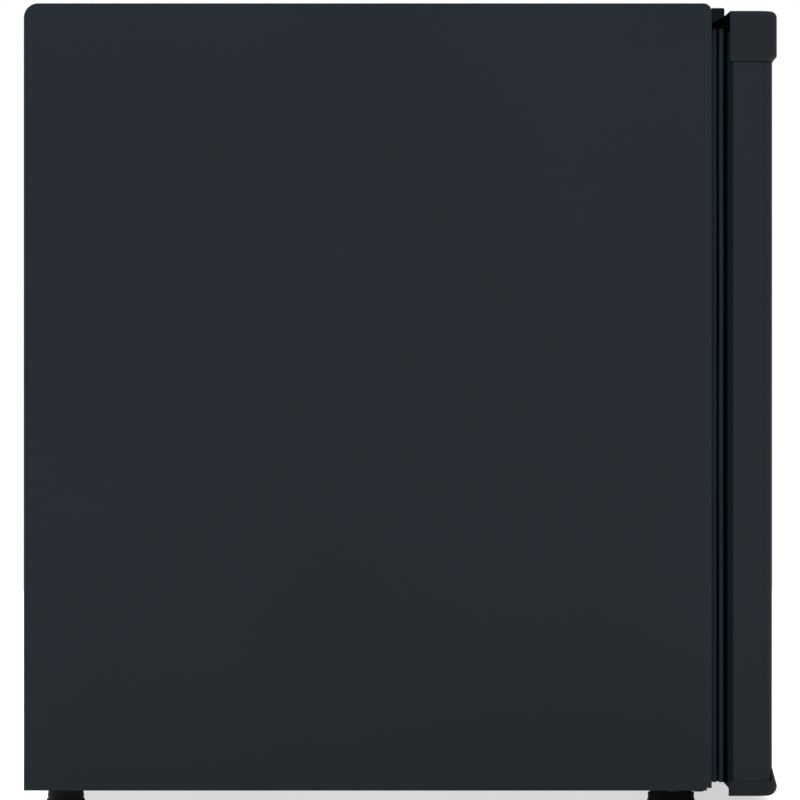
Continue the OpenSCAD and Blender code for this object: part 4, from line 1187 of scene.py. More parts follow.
def cross_screw(name: str, radius: float, height: float, shank: float, length: float) -> Obj:
    """A pan-head screw with a cross recess, its shank down the Z axis.

    Args:
        name: Name of the part.
        radius: Radius of the head.
        height: Height of the head.
        shank: Radius of the shank.
        length: Length of the shank.

    Returns:
        The part.
    """
    sides, slot, reach, deep = 48, radius * 0.13, radius * 0.62, height * 0.62
    radii = [radius * k for k in (0.06, 0.13, 0.2, 0.3, 0.42, 0.54, 0.62, 0.7, 0.8, 0.9, 0.97)]
    rings: list[list[Triple]] = [[(0.0, 0.0, height - deep)] * sides]
    for r in radii:
        ring = []
        for t in turns(sides):
            x, y = r * math.cos(t), r * math.sin(t)
            z = height * (1 - 0.32 * (r / radius) ** 2.5)
            inside = (abs(x) < slot or abs(y) < slot) and r < reach
            ring.append((x, y, z - deep * (1 - 0.45 * r / reach) if inside else z))
        rings.append(ring)
    for r, z in ((radius, height * 0.5), (radius, 0.0), (shank, 0.0), (shank, -length + shank),
                 (shank * 0.3, -length)):
        rings.append([(r * math.cos(t), r * math.sin(t), z) for t in turns(sides)])
    return loft(name, rings)


# ---------------------------------------------------------------- cabinet shell


@dataclass
class CabinetShell:
    """The painted outer sheets with their back panel, screws, rails and trim."""

    shop: Workshop
    front_fold: float = 2.2
    hem_fold: float = 0.8
    sheet_edge: float = 0.22
    bead_rise: float = 0.9
    bead_count: int = 5
    bead_r: float = 6.0
    back_cells: tuple[int, int] = (150, 110)
    screw_head: float = 3.6
    notch: Pair = (3.0, 1.6)
    notch_lean: float = 0.9
    foam_edge: float = 7.0

    def build(self) -> None:
        """Builds every piece of the shell."""
        for node in ("side_panel_left", "side_panel_right"):
            self._side(node)
        self.shop.refine("top_panel", Slot.PAINTED, self.sheet_edge)
        self._back()
        self._back_screws()
        self.shop.refine("base_pan", Slot.PLATED, self.sheet_edge)
        for node, radius in (("front_rail_top", self.sheet_edge), ("front_rail_bottom", 0.3)):
            self.shop.refine(node, Slot.PAINTED, radius)
        self._foam()
        self.shop.refine("top_trim", Slot.MOULDED, 0.35, 3, self.shop.finishes.trim_plastic)

    def _side(self, node: str) -> None:
        """A side sheet: a soft front fold, tight folds above and behind, and a notch at its foot."""
        box = Extent.of(node)
        outer = box.x0 if box.centre[0] < 0 else box.x1
        near = 0.02
        obj = traced(node, f"{node}_sheet")

        def on_face(a: Vector, b: Vector) -> bool:
            """True for an edge of the outer face."""
            return max(abs(p.x - outer) for p in (a, b)) < near

        def front(a: Vector, b: Vector) -> bool:
            """True for the upright front fold."""
            return on_face(a, b) and max(abs(p.y - box.y0) for p in (a, b)) < near and abs(a.z - b.z) > 50

        def hem(a: Vector, b: Vector) -> bool:
            """True for the other folds, not the open lower edge."""
            return on_face(a, b) and not (a.z < box.z0 + 2 and b.z < box.z0 + 2)

        round_edges(obj, front, self.front_fold, 7)
        round_edges(obj, hem, self.hem_fold, 3)
        y, z = box.y0 + self.notch[0], box.z0 + self.notch[1]
        foot = y + self.notch_lean * (z - box.z0 + 1) / self.notch[1]
        wedge = [(y - 1, box.z0 - 1), (y - 1, z), (y - 0.01, z), (foot, box.z0 - 1)]
        cut_away(obj, prism("cutter", wedge, "x", box.x0 - 3, box.x1 + 3))
        self.shop.hand_over(obj, Body.CABINET, Slot.PAINTED, node, angle=26)

    def _back(self) -> None:
        """The pressed back panel: a raised field with long stiffening beads."""
        box = Extent.of("back_panel")
        thick = box.y1 - box.y0
        nx, nz = self.back_cells
        field_x, field_z0, field_z1 = box.x1 - 42, box.z0 + 30, box.z1 - 24
        pitch = (field_z1 - field_z0) / (self.bead_count + 1)

        def ramp(v: float, width: float) -> float:
            """A soft step from 0 to 1 over a width."""
            t = max(0.0, min(1.0, v / width))
            return t * t * (3 - 2 * t)

        def rise(x: float, z: float) -> float:
            """How far the panel stands out at a place."""
            into = min(field_x - abs(x), z - field_z0, field_z1 - z)
            level = 0.5 * ramp(into, 3.5)
            for i in range(self.bead_count):
                zc = field_z0 + pitch * (i + 1)
                over_x = max(0.0, abs(x) - (field_x - 26))
                near = self.bead_r - math.hypot(z - zc, over_x)
                level += self.bead_rise * 0.55 * ramp(near, 4.5)
            return level

        verts, faces = [], []
        for j in range(nz + 1):
            for i in range(nx + 1):
                x = box.x0 + (box.x1 - box.x0) * i / nx
                z = box.z0 + (box.z1 - box.z0) * j / nz
                verts.append((x, box.y1 + rise(x, z), z))
        for j in range(nz):
            for i in range(nx):
                a = j * (nx + 1) + i
                faces.append([a, a + nx + 1, a + nx + 2, a + 1])
        obj = mesh_object("back_panel_pressed", verts, faces)
        if sum(p.normal.y for p in obj.data.polygons) < 0:
            obj.data.flip_normals()
        mod = obj.modifiers.new("sheet", "SOLIDIFY")
        mod.thickness, mod.offset = thick * MM, -1.0
        settle(obj)
        self.shop.hand_over(obj, Body.CABINET, Slot.PAINTED, "back_panel", weighted=False)

    def _back_screws(self) -> None:
        """The screws of the back panel, each turned its own way."""
        box = Extent.of("back_panel_screws")
        x = box.x1 - self.screw_head
        rows = 4
        z0, z1 = box.z0 + self.screw_head, box.z1 - self.screw_head
        face = Extent.of("back_panel").y1
        points = [(s * x, face, z0 + (z1 - z0) * i / (rows - 1)) for s in (-1, 1) for i in range(rows)]
        part = cross_screw("screw", self.screw_head - 0.1, 1.4, 1.5, 3.6)
        zinc = self.shop.finishes.bright_zinc
        obj = self.shop.spread("back_panel_screws_cross", part, points, (-90, 0, 0), 180, zinc)
        self.shop.hand_over(obj, Body.CABINET, Slot.PLATED, "back_panel_screws")

    def _foam(self) -> None:
        """The foam, rounded where the liner bends over the compressor bay."""
        edge_y, edge_z = Interior.step_y + Interior.liner_t, Interior.step_z - Interior.liner_t

        def over_bay(a: Vector, b: Vector) -> bool:
            """True for the edge under the liner's step."""
            return abs(a.x - b.x) > 20 and all(math.hypot(p.y - edge_y, p.z - edge_z) < 0.5 for p in (a, b))

        obj = traced("cabinet_foam", "cabinet_foam_poured")
        round_edges(obj, over_bay, self.foam_edge, 5)
        self.shop.hand_over(obj, Body.CABINET, Slot.FOAM, "cabinet_foam")


@dataclass
class StandingParts:
    """The feet and their nuts, and the plugs of the spare hinge holes."""

    shop: Workshop
    pad_groove: float = 0.8
    grip_ribs: int = 24
    stem_r: float = 4.0
    rear_r: float = 12.0
    thread_pitch: float = 1.25
    thread_depth: float = 0.55

    def build(self) -> None:
        """Builds the feet, nuts and plugs."""
        self._front_foot("foot_left", Body.FOOT_LEFT)
        self._front_foot("foot_right", Body.FOOT_RIGHT)
        self._rear_feet()
        zinc = self.shop.finishes.bright_zinc
        self.shop.refine("foot_nuts", Slot.PLATED, 0.5, material=zinc)
        self._plugs()

    def _front_foot(self, node: str, body: Body) -> None:
        """A levelling foot: a grooved pad with a hexagon neck under a threaded stem."""
        box = Extent.of(node)
        r = (box.x1 - box.x0) / 2
        at = (box.centre[0], box.centre[1], 0.0)
        rubber = self.shop.finish(Slot.RUBBER)
        pad = turned("pad", [
            (0, 0.5, 0), (r - 3.2, 0.5, 0.3), (r - 2.6, 0, 0.3), (r, 0, 0.7), (r, 2.0, 0.4),
            (r - 0.7, 2.4, 0.2), (r - 0.7, 2.4 + self.pad_groove, 0.2), (r - 0.4, 3.4, 0.2),
            (r - 2.6, 8.6, 0.8), (0, 8.6, 0)], at, sides=64)
        rib = soft_block("rib", (r - 1.6, r - 0.5), (-0.6, 0.6), (2.5, 6.4), 0.25, 2)
        ribs = self.shop.spread("grip", rib, [at], (0, 0, 0), 0, rubber)
        rim = [self._turned_copy(ribs, at, angle) for angle in turns(self.grip_ribs)]
        bpy.data.objects.remove(ribs)
        stem = dress(self._thread(at, self.stem_r, 8.4, box.z1), self.shop.finishes.bright_zinc)
        obj = join(f"{node}_threaded", [dress(pad, rubber), *rim, stem])
        self.shop.hand_over(obj, body, Slot.RUBBER, node)

    @staticmethod
    def _turned_copy(obj: Obj, at: Triple, angle: float) -> Obj:
        """A copy of a part turned about an upright axis."""
        data = obj.data.copy()
        centre = Matrix.Translation(Vector(at) * MM)
        data.transform(centre @ Matrix.Rotation(angle, 4, "Z") @ centre.inverted())
        return linked("copy", data)

    def _thread(self, at: Triple, r: float, z0: float, z1: float) -> Obj:
        """A stem with a real helical thread.

        Args:
            at: A point on its axis.
            r: Radius over the thread's crests.
            z0: Its lower end.
            z1: Its upper end.

        Returns:
            The stem.
        """
        sides, per_turn = 32, 8
        rows = int((z1 - z0) / self.thread_pitch * per_turn)
        rings = []
        for k in range(rows + 1):
            z = z0 + (z1 - z0) * k / rows
            near_end = min(1.0, (z1 - z) / 1.2)
            ring = []
            for i, t in enumerate(turns(sides)):
                phase = (z / self.thread_pitch - i / sides) % 1.0
                dip = abs(phase * 2 - 1)
                rr = (r - 0.03) - self.thread_depth * (1 - dip) - 0.8 * (1 - near_end)
                ring.append((at[0] + rr * math.cos(t), at[1] + rr * math.sin(t), z))
            rings.append(ring)
        return loft("stem", rings)

    def _rear_feet(self) -> None:
        """The fixed rear feet, with a ring groove and a press-in stub."""
        box = Extent.of("rear_feet")
        r, top = self.rear_r, box.z1
        shoulder = top - 4.5
        part = turned("foot", [
            (0, 0.4, 0), (r - 2.8, 0.4, 0.2), (r - 2.2, 0, 0.2), (r, 0, 0.6), (r, 2.6, 0.5),
            (r - 0.8, 3.2, 0.2), (r - 0.8, 4.2, 0.2), (r - 0.5, 4.6, 0.2), (r - 3.1, shoulder, 0.5),
            (3.0, shoulder, 0.3), (3.0, top - 0.6, 0.4), (0, top, 0)], (0, 0, 0))
        points = [(box.x0 + r, box.centre[1], 0.0), (box.x1 - r, box.centre[1], 0.0)]
        rubber = self.shop.finish(Slot.RUBBER)
        obj = self.shop.spread("rear_feet_grooved", part, points, (0, 0, 0), 0, rubber)
        self.shop.hand_over(obj, Body.CABINET, Slot.RUBBER, "rear_feet")

    def _plugs(self) -> None:
        """Domed plugs in the spare hinge holes."""
        box = Extent.of("hinge_hole_plugs")
        x = box.centre[0]
        r = (box.x1 - box.x0) / 2
        part = turned("plug", [
            (0, box.z0, 0), (r - 1.2, box.z0 + 0.15, 0.6), (r, box.z0 + 0.9, 0.3), (r, box.z0 + 1.2, 0.1),
            (2.05, box.z0 + 1.2, 0.1), (2.0, box.z1 - 0.8, 0.3), (0, box.z1, 0)], (0, 0, 0), sides=36)
        points = [(x, box.y0 + r, 0.0), (x, box.y1 - r, 0.0)]
        plastic = self.shop.finish(Slot.MOULDED)
        obj = self.shop.spread("hinge_hole_plugs_domed", part, points, (0, 0, 0), 0, plastic)
        self.shop.hand_over(obj, Body.CABINET, Slot.MOULDED, "hinge_hole_plugs")


# ---------------------------------------------------------------- door


@dataclass
class DoorLeaf:
    """The door: its painted skin, end caps, liner, seal and bins."""

    shop: Workshop
    skin_front_r: float = 8.0
    skin_back_r: float = 1.3
    sheet: float = 0.8
    hem: float = 10.0
    cap_r: float = 10.0
    cap_chamfer: float = 3.4
    cap_top_r: float = 4.1
    cap_stands_off: float = 0.35
    seam_gap: Pair = (0.9, 0.4)
    notch_x: float = 195.0
    notch_floor: float = 10.6
    notch_roof: float = 4.9
    lower_step: float = 9.2
    lower_r: float = 5.6
    lower_full: float = 6.2
    cheek: float = 2.6
    heel: float = 6.0
    lower_lip_end: float = 163.5
    seal_width: float = 20.5
    rail: float = 24.0
    frame_x: float = 176.0
    frame_z: Pair = (52.0, 447.0)
    fold_r: float = 5.0

    def build(self) -> None:
        """Builds every piece of the door."""
        self._skin()
        self._top_cap()
        self._bottom_cap()
        self._liner()
        self._binding()
        self._seal()
        for node, guard in (("door_bin_upper", 40.0), ("door_bin_lower", 50.0)):
            self._bin(node, guard)
        self.shop.keep("gasket_magnets", Slot.RUBBER)
        for node in ("top_hinge_bushing", "bottom_hinge_bushing"):
            self.shop.refine(node, Slot.LINER, 0.25, 2, self.shop.finishes.frost_white, Body.DOOR)

    def _skin(self) -> None:
        """The door's sheet, wrapped from hem to hem round both front edges."""
        box = Extent.of("door_skin")
        x, y0, y1 = box.x1, box.y0, box.y1
        path = rounded([
            (-x + self.hem, y1, 0), (-x, y1, self.skin_back_r), (-x, y0, self.skin_front_r),
            (x, y0, self.skin_front_r), (x, y1, self.skin_back_r), (x - self.hem, y1, 0)], 9, closed=False)
        outline = thicken(path, self.sheet)
        obj = prism("door_skin_folded", outline, "z", box.z0, box.z1)
        self.shop.hand_over(obj, Body.DOOR, Slot.PAINTED, "door_skin", angle=26)

    def _plan(self, x: float, front: float, back: float, r: float, z: float) -> list[Triple]:
        """A ring of the cap's plan at one height: rounded in front and square behind."""
        return [(px, py, z) for px, py in rounded([
            (-x, back, 0.7), (-x, front, r), (x, front, r), (x, back, 0.7)], 10)]

    def _top_cap(self) -> None:
        """The upper cap: a drawn-in lower band, a rolled top edge and the lip that closes the gap; the lip
        and a seam ring under the band are near-black, painted shade.
        """
        box = Extent.of("door_top_cap")
        skin = Extent.of("door_skin")
        back, front, x = self._cap_back(), box.y0, box.x1
        drawn_front = skin.y0 - 0.6
        deep, high = self.seam_gap
        drawn_x, drawn_r = skin.x1 + self.cap_stands_off, self.cap_r - 1.8
        rings = []
        for inset, rise in ((deep, 0.0), (deep, high - 0.05), (0.1, high), (0.0, high + 0.1)):
            rings.append(self._plan(drawn_x - inset, drawn_front + inset, back, drawn_r, box.z0 + rise))
        for short, rise in ((1.0, 0.0), (0.0, 0.15)):
            rings.append(self._plan(x - 0.05 * short, front + 0.15 * short, back, self.cap_r,
                                    box.z0 + self.cap_chamfer - 0.15 + rise))
        for a in quarter(8):
            draw = 1 - math.cos(a)
            y, z = front + self.cap_top_r * draw, box.z1 - self.cap_top_r * (1 - math.sin(a))
            rings.append(self._plan(x - 0.8 * draw, y, back, self.cap_r - 1.5 * draw, z))
        cap = loft("door_top_cap_moulded", rings)
        floor = box.z1 - self.notch_floor
        cut_away(cap, block("cutter", (self.notch_x, x + 5), (front - 5, back + 9), (floor, box.z1 + 5)))
        # A thin near-black ring in the groove under the cap: a painted shadow line at the seam.
        seam = loft("seam", [self._plan(drawn_x - 0.15, drawn_front + 0.15, back - 0.3, drawn_r, z)
                             for z in (box.z0 + 0.02, box.z0 + high + 0.05)])
        trim = Extent.of("top_trim")
        lip_gap = 0.4
        root_z, tip_z = trim.z0, trim.z1 - 4.5
        lip = prism("lip", [
            (back - 2, floor), (back - 2, box.z1 - 0.02), (back, box.z1 - 0.02),
            (trim.y0 - lip_gap, tip_z), (trim.y1 - lip_gap, root_z - lip_gap), (trim.y1 - lip_gap, floor)],
            "x", -x + 12, trim.x1 - 5.7)
        bevel_mesh(lip, 0.2, 2, 30)
        dress(cap, self.shop.finish(Slot.MOULDED))
        # Lip and seam ring take the near-black finish: painted shade in the gap and in the groove.
        dark = [dress(piece, self.shop.finishes.deep_black) for piece in (lip, seam)]
        obj = join("door_top_cap_moulded", [cap, *dark])
        self.shop.hand_over(obj, Body.DOOR, Slot.MOULDED, "door_top_cap", angle=24)

    def _cap_back(self) -> float:
        """The plane of the back of the end caps."""
        return Extent.of("door_skin").y1 + 1.5

    def _bottom_cap(self) -> None:
        """The lower cap, flared forward at its foot, with a lip behind it."""
        box = Extent.of("door_bottom_cap")
        skin = Extent.of("door_skin")
        back, front, x, z0 = self._cap_back() + 0.9, box.y0, box.x1, box.z0
        rings = []
        for a in quarter(8):
            draw = 1 - math.sin(a)
            y, z = front + self.lower_r * draw, z0 + self.lower_r * (1 - math.cos(a))
            rings.append(self._plan(x - 1.2 * draw, y, back, self.cap_r - 2.5 * draw, z))
        full = z0 + self.lower_full
        rings.append(self._plan(x, front, back, self.cap_r, full))
        steps = 5
        flare_top = z0 + 16.8
        for i in range(1, steps + 1):
            t = i / steps
            y = front + (skin.y0 - 0.3 - front) * t
            rings.append(self._plan(x, y, back, self.cap_r, full + (flare_top - full) * t))
        cap = loft("door_bottom_cap_moulded", rings)
        low = (z0 - 5, z0 + self.notch_roof)
        behind = (skin.y0 + 0.5, back + 5)
        hollow = (-x + self.cheek, self.notch_x - self.cheek)
        cut_away(cap, block("cutter", (-x - 5, x + 5), behind, (z0 + self.lower_step, flare_top + 5)),
                 block("cutter", (self.notch_x, x + 5), (front - 5, back + 5), low),
                 block("cutter", hollow, (back - self.heel, back + 5), low))
        lip = prism("lip", [
            (back - 0.9, z0 + 5), (back, z0 + 5), (back + 2.5, z0 + 7.7), (back + 2.5, z0 + 7.8),
            (back - 0.9, z0 + 7.8)], "x", -x + 6, self.lower_lip_end)
        bevel_mesh(lip, 0.15, 2, 30)
        obj = join("door_bottom_cap_moulded", [cap, lip])
        self.shop.hand_over(obj, Body.DOOR, Slot.MOULDED, "door_bottom_cap", angle=24)

    def _relief(self, inset: float) -> list[list[Triple]]:
        """Rings of the liner's raised frame, from its foot outside to its foot inside.

        Args:
            inset: How far inside the liner's skin the rings lie.

        Returns:
            The rings.
        """
        box = Extent.of("door_liner")
        face, deep = Extent.of("door_skin").y1 + 3.0 - inset, box.y1 - inset
        x, z0, z1 = self.frame_x - inset, self.frame_z[0] + inset, self.frame_z[1] - inset
        inner_x = self.frame_x - self.rail + inset
        in_z0, in_z1 = self.frame_z[0] + self.rail - inset, self.frame_z[1] - self.rail + inset
        fold = self.fold_r
        rings = []
        for a in quarter(5):
            grow = fold * (1 - math.sin(a))
            y = face + fold * (1 - math.cos(a))
            rings.append(upright_ring(x + grow, z0 - grow, z1 + grow, y, 14 + grow))
        for a in quarter(6):
            draw = 1.2 + fold * (1 - math.cos(a))
            y = deep - fold * (1 - math.sin(a))
            rings.append(upright_ring(x - draw, z0 + draw, z1 - draw, y, max(6.0, 14 - draw)))
        for a in quarter(6):
            grow = 0.8 + fold * (1 - math.sin(a))
            y = deep - fold * (1 - math.cos(a))
            rings.append(upright_ring(inner_x + grow, in_z0 - grow, in_z1 + grow, y, 8 + grow))
        for a in quarter(4):
            draw = 1.4 * (1 - math.cos(a)) - 0.1
            y = face + 1.4 * (1 - math.sin(a))
            rings.append(upright_ring(inner_x - draw, in_z0 + draw, in_z1 - draw, y, 8 - draw))
        return rings

    def _liner(self) -> None:
        """The formed inner face of the door with its raised frame, and the foam behind it."""
        box = Extent.of("door_liner")
        back, deep = Extent.of("door_skin").y1, box.y1
        face = back + 3.0
        edge_x = box.x1 - 1.0
        border = [upright_ring(edge_x, box.z0 + 1, box.z1 - 1, back, 3),
                  upright_ring(edge_x, box.z0 + 1, box.z1 - 1, face - 0.3, 3),
                  upright_ring(edge_x - 0.3, box.z0 + 1.3, box.z1 - 1.3, face, 3)]
        obj = loft("door_liner_formed", border + self._relief(0.0))
        pads = []
        inner_x = self.frame_x - self.rail - 1.2
        for side in Side:
            for z in (330.0, 365.0, 400.0):
                lo, hi = sorted((side.value * inner_x, side.value * (inner_x + 3)))
                pads.append(soft_block("pad", (lo, hi), (face + 4, deep - 8), (z - 3, z + 3), 1.0, 2))
        obj = join("door_liner_formed", [obj, *pads])
        self.shop.hand_over(obj, Body.DOOR, Slot.LINER, "door_liner", angle=30, weighted=False)
        foam = Extent.of("door_foam")
        slab = [upright_ring(foam.x1 - 8, foam.z0 + 0.5, foam.z1 - 0.5, foam.y0 + 0.3, 3),
                upright_ring(foam.x1 - 1, foam.z0 + 0.5, foam.z1 - 0.5, foam.y0 + 8, 3),
                upright_ring(foam.x1 - 1, foam.z0 + 0.5, foam.z1 - 0.5, back - 0.4, 3)]
        obj = loft("door_foam_poured", slab + self._relief(1.9))
        self.shop.hand_over(obj, Body.DOOR, Slot.FOAM, "door_foam")

    def _binding(self) -> None:
        """The edging that covers the cut edge of the liner between the seal and the skin; its dark teal is
        darkened further as painted shade of its recess.
        """
        box = Extent.of("door_liner")
        back = Extent.of("door_skin").y1
        y0, y1 = back, back + 3.05
        profile = rounded([(0, y0 + 0.02, 0.2), (15.2, y0 + 0.02, 0.2), (15.2, y1, 0.3), (0, y1, 0.7)], 4)
        obj = loop_solid("door_liner_edging", profile, box.x1, box.z0, box.z1)
        # Dark teal edging, deepened as painted shade of the recess between seal and skin.
        self.shop.hand_over(obj, Body.DOOR, Slot.SEAL, angle=40, material=self.shop.finishes.edging)

    def _seal(self) -> None:
        """The hollow magnetic seal: a flat strip, a neck and a base bead, mitred at its corners; a near-black
        web in its groove is painted shade.
        """
        box = Extent.of("door_gasket")
        y1, y0, w = box.y1, box.y0, self.seal_width
        strip, neck, base = y1 - 3.2, y1 - 4.5, y1 - 7.5
        r = 8.0
        profile = rounded([
            (0.15, y1, 0.6), (w - 0.15, y1, 0.6), (w, strip, 0.5), (w - r, strip, 0.5), (w - r, neck, 0.5),
            (w, neck, 0.5), (w, base, 0.6), (w - r, base, 0.5), (w - r, y0, 0.3), (r, y0, 0.3),
            (r, base, 0.5), (0, base, 0.6), (0, neck, 0.5), (r, neck, 0.5), (r, strip, 0.5),
            (0, strip, 0.5)], 4)
        random.seed(SEED)
        waves = [(random.uniform(2.0, 4.0), random.uniform(0, 6.28), random.uniform(0.05, 0.12))
                 for _ in range(4)]

        def sway(inset: float, y: float, way: float) -> float:
            """The slight waviness of the soft base bead along its sides."""
            if not (base - 0.5 < y < neck + 0.5) or r < inset < w - r:
                return 0.0
            ends = math.sin(math.pi * (way % 1.0)) ** 0.5
            return ends * sum(a * math.sin(2 * math.pi * f * way + p) for f, p, a in waves)

        lips = loop_solid("lips", profile, box.x1, box.z0, box.z1, 28, sway)
        fill = soft_block("fill", (-box.x1 + r, box.x1 - r), (neck - 0.1, strip + 0.1),
                          (box.z0 + 0.3, box.z0 + r + 0.4), 0.2, 2)
        # A near-black web inside the groove between the strips: painted shade.
        web = loop_solid("web", [(r - 0.25, strip + 0.1), (r + 0.3, strip + 0.1), (r + 0.3, y0 + 0.1),
                                 (r - 0.25, y0 + 0.1)], box.x1, box.z0, box.z1)
        soft = [dress(piece, self.shop.finish(Slot.SEAL)) for piece in (lips, fill)]
        # The web takes the near-black finish as painted shade.
        obj = join("door_gasket_hollow", [*soft, dress(web, self.shop.finishes.deep_black)])
        self.shop.hand_over(obj, Body.DOOR, Slot.SEAL, "door_gasket", angle=50, weighted=False)

    def _bin(self, node: str, guard: float) -> None:
        """A clear bin with a thick rim on its guard and ribs across its floor."""
        box = Extent.of(node)
        clear = self.shop.finish(Slot.CLEAR)
        shell = self.shop.shaped(node, f"{node}_shell", clear, 0.9)
        y, z = box.y1 - 1.9, box.z0 + guard - 1.6
        rim = self.shop.bead(f"{node}_rim", [(box.x0 + 3, y, z), (box.x1 - 3, y, z)], 3.6, 3.0, 1, clear)
        count = 11
        step = (box.x1 - box.x0 - 60) / (count - 1)
        rib = soft_block("rib", (-0.8, 0.8), (box.y0 + 10, box.y1 - 10), (0, 1.0), 0.35, 2)
        ribs = self.shop.row(f"{node}_ribs", rib, count, (box.x0 + 30, 0, box.z0 + 2.2), (step, 0, 0), clear)
        obj = join(f"{node}_clear", [shell, rim, ribs])
        self.shop.hand_over(obj, Body.DOOR, Slot.CLEAR, node)


@dataclass
class HingeSet:
    """Both hinges, with their pins, screws and the moulded cover."""

    shop: Workshop
    head_r: float = 4.2
    head_h: float = 2.0
    shank_r: float = 2.0

    def build(self) -> None:
        """Builds the hinge pieces."""
        zinc = self.shop.finishes.bright_zinc
        for node in ("top_hinge_bracket", "bottom_hinge_bracket"):
            self.shop.refine(node, Slot.PAINTED, 0.45, 3)
        self.shop.refine("hinge_cover", Slot.MOULDED, 0.3, 2, self.shop.finishes.trim_plastic)
        for node in ("top_hinge_pin", "bottom_hinge_pin"):
            self.shop.refine(node, Slot.PLATED, 0.35, 3, zinc)
        box, r = Extent.of("top_hinge_screws"), self.head_r
        z = box.centre[2]
        top = [(box.x0 + r, box.y0 + self.head_h, z), (box.x1 - r, box.y0 + self.head_h, z)]
        box = Extent.of("bottom_hinge_screws")
        x = box.centre[0]
        bottom = [(x, box.y0 + r, box.z0 + self.head_h), (x, box.y1 - r, box.z0 + self.head_h)]
        for node, points, length, turn in (("top_hinge_screws", top, 7.5, 90),
                                           ("bottom_hinge_screws", bottom, 12.5, 180)):
            part = cross_screw("screw", r, self.head_h, self.shank_r, length)
            obj = self.shop.spread(f"{node}_cross", part, points, (turn, 0, 0), 180, zinc)
            self.shop.hand_over(obj, Body.CABINET, Slot.PLATED, node)


# ---------------------------------------------------------------- interior


